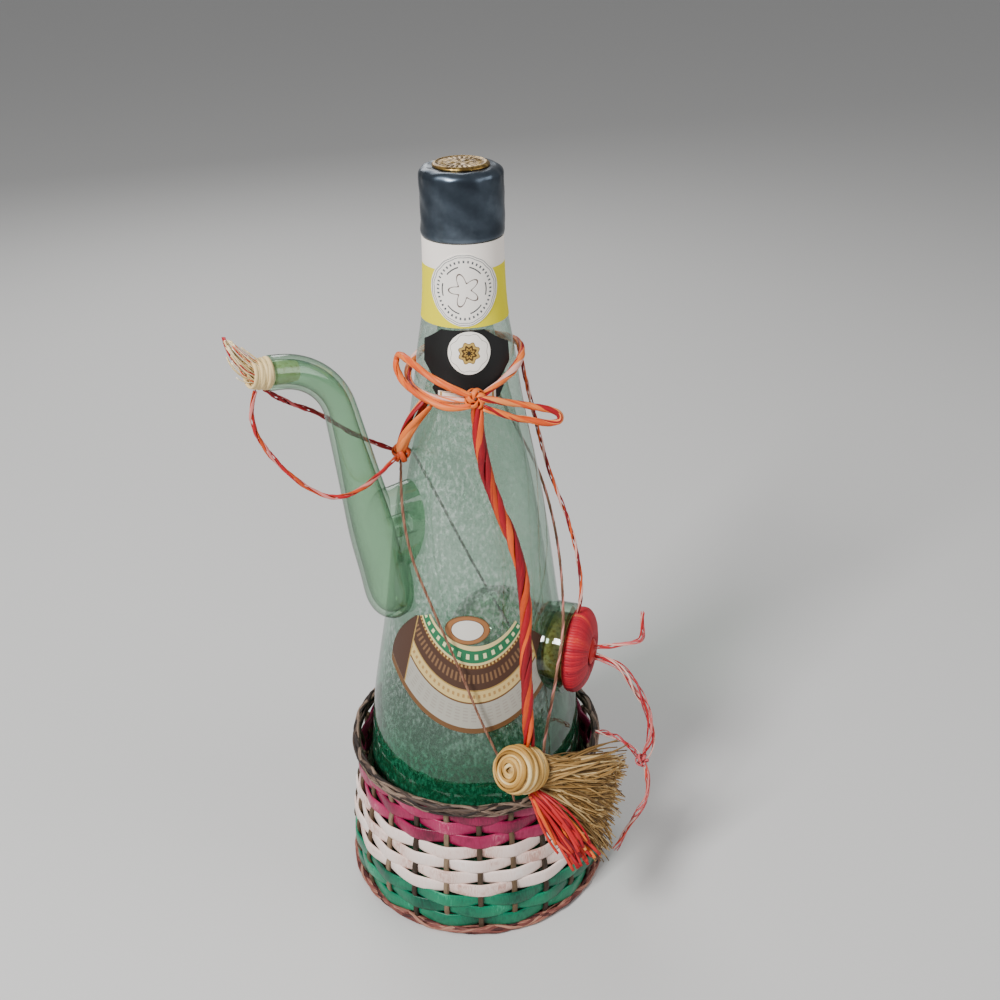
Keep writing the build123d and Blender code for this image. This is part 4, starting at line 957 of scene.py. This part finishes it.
def dents(a, r, z):
    """Pressed foil: broad dents round the sleeve, finer creases at the shoulder, none at the lower edge.

    Both are sums of sines of the angle and the height, and only the outer face has them.
    """
    outside = (r > 15.3) | (z > 326.5)
    body = np.clip((z - SLEEVE_LOW) / 4, 0, 1) * np.clip((r - 6) / 6, 0, 1) * outside
    broad = 0.16 * np.sin(5 * a + 0.35 * z) * np.sin(0.31 * z + 2 * a) + 0.10 * np.sin(3 * a - 0.22 * z + 1)
    fine = 0.10 * np.sin(17 * a + 3 * np.sin(2 * a)) * np.exp(-((z - SHOULDER_Z) / 2.5) ** 2)
    return body * (broad + fine - 0.14), body * 0.15 * np.sin(9 * a + r) * np.exp(-((z - 327) / 2) ** 2)


def emboss(a, r, z):
    """Raised rays and petals inside a ring: each a cosine of the angle under a bell of the radius."""
    rays = 0.14 * np.cos(24 * a) * np.exp(-((r - 7.0) / 1.2) ** 2)
    petals = 0.2 * np.cos(6 * a) * np.exp(-((r - 3.2) / 1.1) ** 2)
    rim = 0.3 * np.exp(-((r - 9.4) / 0.5) ** 2)
    return 0 * r, (rays + petals + rim) * (z > 329.2)


quarter = np.linspace(0, np.pi / 2, 10)
outer = [(r, SLEEVE_TOP) for r in (0, 4, 8, 11, 12.4)]
outer += list(zip(12.6 + 3.1 * np.sin(quarter), SHOULDER_Z + 3.1 * np.cos(quarter)))
outer += [(SLEEVE_RADIUS, z) for z in np.linspace(324, 306, 28)]
outer += [(SLEEVE_RADIUS, 305.2), (15.6, 304.4), (15.4, 304.0), (SLEEVE_BORE, 304.1)]
inner = [(SLEEVE_BORE, z) for z in np.linspace(305, 325.6, 8)]
inner += [(15.2, INNER_TOP), (10, INNER_TOP), (0, INNER_TOP)]
capsule = turned("capsule_sleeve", outer + inner, dents)
disc_face = [(r, 329.65) for r in np.linspace(0, 9.6, 30)]
disc_edge = [(10.1, 329.6), (10.5, 329.3), (10.6, 328.9), (10.5, 328.62), (0, 328.62)]
disc = turned("capsule_seal_disc", disc_face + disc_edge, emboss)

# %% [markdown]
# ## Foil, cork, willow and packed straw
# These finishes have no direction: cork is speckled with dark pores, foil is cloudy where hands have
# dulled it, and the floor of the basket is a rough board. One recipe with a noise in object
# coordinates does for all, because the noise then stays on the piece when it moves.

# %% Simple finishes
def speckled(name, stops, per_m, roughness, bump_mm=0.1, metal=0.0):
    """A material whose colour and small bumps follow a noise with per_m grains to the metre."""
    made, tree, shader = material(name, Roughness=roughness, Metallic=metal)
    where = add(tree, "TexCoord").outputs["Object"]
    noise = add(tree, "TexNoise", {"Vector": where, "Scale": per_m, "Detail": 4.0})
    bump = add(tree, "Bump", {"Height": noise, "Strength": 0.5, "Distance": bump_mm * MM})
    feed(tree, shader, {"Base Color": add(tree, "ValToRGB", {"Fac": noise}, stops), "Normal": bump})
    return made


# cork: pores of about 1.4 mm, matt; the spout's is fresh and pale
cork = speckled("cork", [(0.3, "#6E4C2E"), (0.45, "#B98C5C"), (0.7, "#D2A878")], 700.0, 0.8)
pale_cork = speckled("pale cork", [(0.3, "#C9A978"), (0.45, "#EBD8AE"), (0.7, "#F8EBCB")], 700.0, 0.7)
# pewter foil: dark soft metal, cloudy patches of 11 mm, a broad dull shine
capsule_foil = speckled(
    "pewter foil", [(0.3, "#3A424C"), (0.5, "#4A545F"), (0.7, "#66717D")], 90.0, 0.3, 0.15, 0.9)
# gold foil: stamped, tarnished in spots of 2 mm
gold_foil = speckled(
    "gold foil", [(0.3, "#4E3A1C"), (0.5, "#846734"), (0.75, "#BFA25E")], 500.0, 0.36, 0.2, 0.85)
# willow board: matt brown, with a rough sawn grain of 2.5 mm
willow = speckled(
    "brown willow board", [(0.3, "#3A2A22"), (0.5, "#5B463B"), (0.75, "#86705F")], 400.0, 0.6, 0.2)
# packed straw: what shows between the turns of the cap and the tassel's head
cap_straw = speckled("packed straw", [(0.3, "#5C3A22"), (0.6, "#8E5E34")], 500.0, 0.8)
head_straw = speckled("packed straw core", [(0.3, "#8A6A3A"), (0.6, "#C9A56A")], 500.0, 0.8)
finish_piece(capsule, "capsule", (capsule_foil,))
finish_piece(disc, "capsule_disc", (gold_foil,))
for node, made in (("neck_cork", cork), ("pocket_plug", cork), ("spout_cork", pale_cork),
                   ("basket_base", willow), ("cap_core", cap_straw), ("tassel_core", head_straw)):
    refit(node, made)

# %% [markdown]
# ## Paper labels
# The labels are printed paper on the glass: uncoated, so they are matt, with flat inks. An image
# would blur up close. Here every shape is a mask worked out from the place on the paper as seen from
# the front, in millimetres, so its edges stay sharp. The prints are bands, rings, dashes and simple
# flowers, and no letters.

# %% Paper, and shapes as masks
def paper(name):
    """Matt paper with its tree, its shader, and x and z in millimetres as seen from the front."""
    made, tree, shader = material(name, Roughness=0.55, Specular_IOR_Level=0.3)
    where = add(tree, "TexCoord").outputs["Object"]
    scaled = add(tree, "VectorMath", {"Vector": where, "Scale": 1000.0}, operation="SCALE")
    split = add(tree, "SeparateXYZ", {"Vector": scaled})
    return made, tree, shader, split.outputs["X"], split.outputs["Z"]


def oval(tree, x, z, at, half):
    """Distance from the middle of an oval, where 1 is its edge: the root of (dx / a)^2 + (dz / b)^2."""
    squares = []
    for value, middle, reach in ((x, at[0], half[0]), (z, at[1], half[1])):
        away = add(tree, "Math", (value, middle), operation="SUBTRACT")
        share = add(tree, "Math", (away, reach), operation="DIVIDE")
        squares.append(add(tree, "Math", (share, 2.0), operation="POWER"))
    return add(tree, "Math", (add(tree, "Math", squares, operation="ADD"),), operation="SQRT")


def turn_about(tree, x, z, at):
    """The angle of a place about a middle, from the arctangent of its height over its distance sideways."""
    up = add(tree, "Math", (z, at[1]), operation="SUBTRACT")
    sideways = add(tree, "Math", (x, at[0]), operation="SUBTRACT")
    return add(tree, "Math", (up, sideways), operation="ARCTAN2")


def petals(tree, far, turn, count, depth):
    """A distance that swings with the angle: far + depth * cos(count * turn), so that rings get petals."""
    swing = add(tree, "Math", (add(tree, "Math", (turn, count), operation="MULTIPLY"),), operation="COSINE")
    return add(tree, "Math", (swing, depth, far), operation="MULTIPLY_ADD")


def dashed(tree, value, wave, times, level):
    """1 where the sine or cosine of times * value is over a level, which cuts a line into dashes."""
    swing = add(tree, "Math", (add(tree, "Math", (value, times), operation="MULTIPLY"),), operation=wave)
    return add(tree, "Math", (swing, level), operation="GREATER_THAN")


def line_at(tree, value, place, half):
    """1 where a value is within half of a place."""
    away = add(tree, "Math", (add(tree, "Math", (value, place), operation="SUBTRACT"),), operation="ABSOLUTE")
    return add(tree, "Math", (away, half), operation="LESS_THAN")


def both(tree, one, other):
    """1 where two masks are 1: their product."""
    return add(tree, "Math", (one, other), operation="MULTIPLY")


def printed(tree, under, mask, code):
    """An ink colour over another colour where the mask is 1."""
    return add(tree, "Mix", {"Factor": mask, "A": under, "B": linear(code)}, data_type="RGBA")


print("inks over paper, for example:", [round(c, 3) for c in linear("#3A3C40")])

# %% [markdown]
# ## Neck label and seal
# A white band over a yellow one goes round the neck, and a white oval seal is pasted on its front.
# The seal's rings, beads and line flower are thin grey ink: rings are bands of an oval's distance,
# and petals come from letting that distance swing with the angle.

# %% Neck label: white over yellow
NECK_LABEL_LOW, NECK_LABEL_HIGH = 272.5, 31.1
neck_paper, tree, shader, x, z = paper("cream and yellow paper")
over_low = add(tree, "Math", (z, NECK_LABEL_LOW), operation="SUBTRACT")
share = add(tree, "Math", (over_low, NECK_LABEL_HIGH), operation="DIVIDE")
color = add(tree, "ValToRGB", {"Fac": share}, [(0.0, "#E6D808"), (0.68, "#F8EFE6")], hold=True)
feed(tree, shader, {"Base Color": color})
refit("neck_label", neck_paper)

# %% Neck seal: rings, dashes and a small line flower
SEAL_AT, SEAL_HALF = (0.0, 286.75), (12.2, 13.6)
seal_paper, tree, shader, x, z = paper("white seal paper")
far = oval(tree, x, z, SEAL_AT, SEAL_HALF)
turn = turn_about(tree, x, z, SEAL_AT)
color = add(tree, "ValToRGB", {"Fac": petals(tree, far, turn, 16.0, 0.008)}, [
    (0.0, "#F6F0E8"), (0.895, "#77797C"), (0.915, "#F6F0E8"), (0.95, "#77797C"),
    (0.97, "#F6F0E8")], hold=True)
arcs = both(tree, dashed(tree, turn, "COSINE", 6.0, -0.2), line_at(tree, far, 0.66, 0.018))
beads = both(tree, dashed(tree, turn, "COSINE", 40.0, 0.3), line_at(tree, far, 0.79, 0.035))
flower = line_at(tree, petals(tree, far, turn, 5.0, 0.13), 0.34, 0.022)
for mask, ink in ((arcs, "#3A3C40"), (beads, "#55575A"), (flower, "#5A4A44")):
    color = printed(tree, color, mask, ink)
feed(tree, shader, {"Base Color": color})
refit("neck_seal", seal_paper)

# %% [markdown]
# ## Collar label
# A black paper shield hangs under the neck's label, with a gilt-edged slip across it and a white
# roundel that holds a gilt rosette. The slip is where two ovals overlap, which is the larger of their
# two distances.

# %% Collar label: black with a white roundel
collar_paper, tree, shader, x, z = paper("black collar paper")
tall, wide = oval(tree, x, z, (0.0, 246.2), (11.0, 30.0)), oval(tree, x, z, (0.0, 245.0), (30.0, 3.4))
color = add(tree, "ValToRGB", {"Fac": add(tree, "Math", (tall, wide), operation="MAXIMUM")}, [
    (0.0, "#EFE8DC"), (0.86, "#B08A4A"), (0.93, "#EFE8DC"), (1.0, "#141414")], hold=True)
feed(tree, shader, {"Base Color": color})
refit("collar_label", collar_paper)

ROUNDEL_AT = (1.2, 263.2)
roundel, tree, shader, x, z = paper("white roundel paper")
far = oval(tree, x, z, ROUNDEL_AT, (8.0, 8.0))
rosette = petals(tree, far, turn_about(tree, x, z, ROUNDEL_AT), 8.0, 0.05)
color = add(tree, "ValToRGB", {"Fac": rosette}, [
    (0.0, "#2E2010"), (0.13, "#A8843C"), (0.22, "#4A3418"), (0.33, "#B8974E"), (0.45, "#7A5C2A"),
    (0.49, "#F6F0E6"), (0.86, "#8E8982"), (0.885, "#F6F0E6")], hold=True)
feed(tree, shader, {"Base Color": color})
refit("collar_seal", roundel)

# %% [markdown]
# ## Body label
# The large label is a fan: its upper and lower edges are arcs, and bands of green, brown, gold and
# grey follow them. A place's share of the way from the upper arc to the lower one picks the band,
# and dashes that fan out from a point above cut three of the bands into patterns. Brown wings with a
# gold edge close both sides.

# %% Body label: bands that run from the upper arc to the lower one
UPPER_ARC, LOWER_ARC = ((1.08, 162.33), 19.7), ((-0.45, 141.42), 38.43)
FAN_FROM, BAND_END = (0.0, 172.0), 0.94
body_paper, tree, shader, x, z = paper("brown and cream paper")
upper, lower = (oval(tree, x, z, middle, (1.0, 1.0)) for middle, _ in (UPPER_ARC, LOWER_ARC))
below = add(tree, "Math", (upper, UPPER_ARC[1]), operation="SUBTRACT")
above = add(tree, "Math", (LOWER_ARC[1], lower), operation="SUBTRACT")
share = add(tree, "Math", (below, add(tree, "Math", (below, above), operation="ADD")), operation="DIVIDE")
turn = turn_about(tree, x, z, FAN_FROM)
color = add(tree, "ValToRGB", {"Fac": share}, [
    (0.0, "#D8C48C"), (0.05, "#2A6E4A"), (0.19, "#D8C48C"), (0.215, "#6A4628"), (0.26, "#4A3226"),
    (0.50, "#A8884C"), (0.515, "#CDB276"), (0.64, "#6A4A2C"), (0.66, "#A8A498"),
    (BAND_END, "#6A4A2C")], hold=True)
weave = dashed(tree, turn, "SINE", 150.0, 0.1)
leaves = dashed(tree, turn, "SINE", 60.0, 0.35)
small_rows = both(tree, dashed(tree, share, "SINE", 170.0, 0.2), dashed(tree, turn, "SINE", 110.0, -0.3))
sideways = add(tree, "Math", (add(tree, "Math", (x, 0.7), operation="ADD"),), operation="ABSOLUTE")
over_foot = add(tree, "Math", (z, 128.0), operation="SUBTRACT")
wing_from = add(tree, "Math", (over_foot, -0.22, 27.0), operation="MULTIPLY_ADD")
past_wing = add(tree, "Math", (sideways, wing_from), operation="SUBTRACT")
wing = add(tree, "Math", (sideways, wing_from), operation="GREATER_THAN")
inside = add(tree, "Math", (share, BAND_END), operation="LESS_THAN")
for mask, ink in (
        (both(tree, weave, line_at(tree, share, 0.375, 0.05)), "#7C5C40"),
        (both(tree, weave, line_at(tree, share, 0.237, 0.014)), "#C9A860"),
        (both(tree, leaves, line_at(tree, share, 0.122, 0.03)), "#D8DCA8"),
        (both(tree, weave, line_at(tree, share, 0.575, 0.02)), "#A88450"),
        (both(tree, small_rows, line_at(tree, share, 0.80, 0.09)), "#9C968C"),
        (both(tree, wing, inside), "#4A3226"),
        (both(tree, line_at(tree, past_wing, 0.2, 0.22), inside), "#A8884C")):
    color = printed(tree, color, mask, ink)
feed(tree, shader, {"Base Color": color})
refit("body_label", body_paper)

# %% The oval label over the fan
OVAL_AT, OVAL_HALF = (-2.4, 150.2), (9.2, 6.4)
oval_paper, tree, shader, x, z = paper("oval label paper")
color = add(tree, "ValToRGB", {"Fac": oval(tree, x, z, OVAL_AT, OVAL_HALF)}, [
    (0.0, "#DAD6CC"), (0.70, "#5E3C26"), (0.74, "#9A6840"), (0.95, "#6E4A2C")], hold=True)
feed(tree, shader, {"Base Color": color})
refit("vintage_label", oval_paper)

# %% [markdown]
# ## The cords' far ends
# A table lists what is at each cord's far end: the object, a knot, a bare cut end or a fitting,
# with the pieces that make it. A stay is pulled tight from the tie to the rim, and the others hang.

# %% The far end of each cord
FAR_ENDS = {
    "neck_tie_wrap": ("object", ()), "tie_left_loop": ("object", ()), "tie_right_loop": ("object", ()),
    "front_stay": ("object", ()), "back_stay": ("object", ()), "right_stay": ("object", ()),
    "cap_cord": ("object", ()), "spout_tether_front": ("object", ()), "spout_tether_rear": ("object", ()),
    "cap_bunch": ("knot", ("bunch_knot_turns",)), "cap_bunch_low_branch": ("bare", ()),
    "cap_cut_end": ("bare", ()),
    "tassel_rope": (
        "fitting", ("tassel_head_turns", "tassel_core", "tassel_skirt_straws", "tassel_tuft_strips")),
}
for name, (far_end, fitted) in FAR_ENDS.items():
    line = lines[name]
print("cords declared:", len(FAR_ENDS))

# %% [markdown]
# ## Floor and light
# The object stands on a wide pale floor, so wide that its edge is the horizon. Area lights with a
# size give shadows with soft edges: a strong key from the front left, a weak fill from the right
# and a back light that draws the glass's edges. A dim plain sky fills the rest.

# %% Pale floor, soft light and a plain sky
FLOOR_HALF, SKY_STRENGTH = 12, 0.34
corners = [(-FLOOR_HALF, -FLOOR_HALF, 0), (FLOOR_HALF, -FLOOR_HALF, 0), (FLOOR_HALF, FLOOR_HALF, 0),
           (-FLOOR_HALF, FLOOR_HALF, 0)]
floor_mesh = bpy.data.meshes.new("floor")
floor_mesh.from_pydata(corners, [], [(0, 1, 2, 3)])
floor = bpy.data.objects.new("floor", floor_mesh)
# a painted board, quite matt, so that nothing mirrors in it
floor_mesh.materials.append(material("pale floor", Base_Color=linear("#D2D1CF"), Roughness=0.9)[0])
bpy.context.scene.collection.objects.link(floor)
world = bpy.data.worlds.new("studio")
world.use_nodes = True
sky = world.node_tree.nodes["Background"]
feed(world.node_tree, sky, {"Color": linear("#F2F3F5"), "Strength": SKY_STRENGTH})
bpy.context.scene.world = world


def softbox(name, at, target, size, watts):
    """A square area light that faces a point: its backward axis is from the point to the light."""
    lamp = bpy.data.lights.new(name, "AREA")
    lamp.shape, lamp.size, lamp.energy = "SQUARE", size, watts
    box = bpy.data.objects.new(name, lamp)
    back = unit(np.array(at) - target)
    right = unit(np.cross((0, 0, 1), back))
    place = np.eye(4)
    place[:3, :3] = np.stack([right, np.cross(back, right), back]).T
    place[:3, 3] = at
    box.matrix_world = place.T.tolist()
    bpy.context.scene.collection.objects.link(box)
    print(name, "light:", watts, "W,", size, "m wide")


softbox("key", (-0.55, -0.65, 0.95), (0, 0, 0.12), 0.28, 18.0)
softbox("fill", (0.9, -0.3, 0.6), (0, 0, 0.12), 0.6, 3.5)
softbox("back", (-0.3, 0.9, 0.8), (0, 0, 0.15), 0.6, 5.0)

# %% [markdown]
# At the end the view layer is brought up to date, so every piece stands where it was put.

# %% A last update of the view layer
bpy.context.view_layer.update()
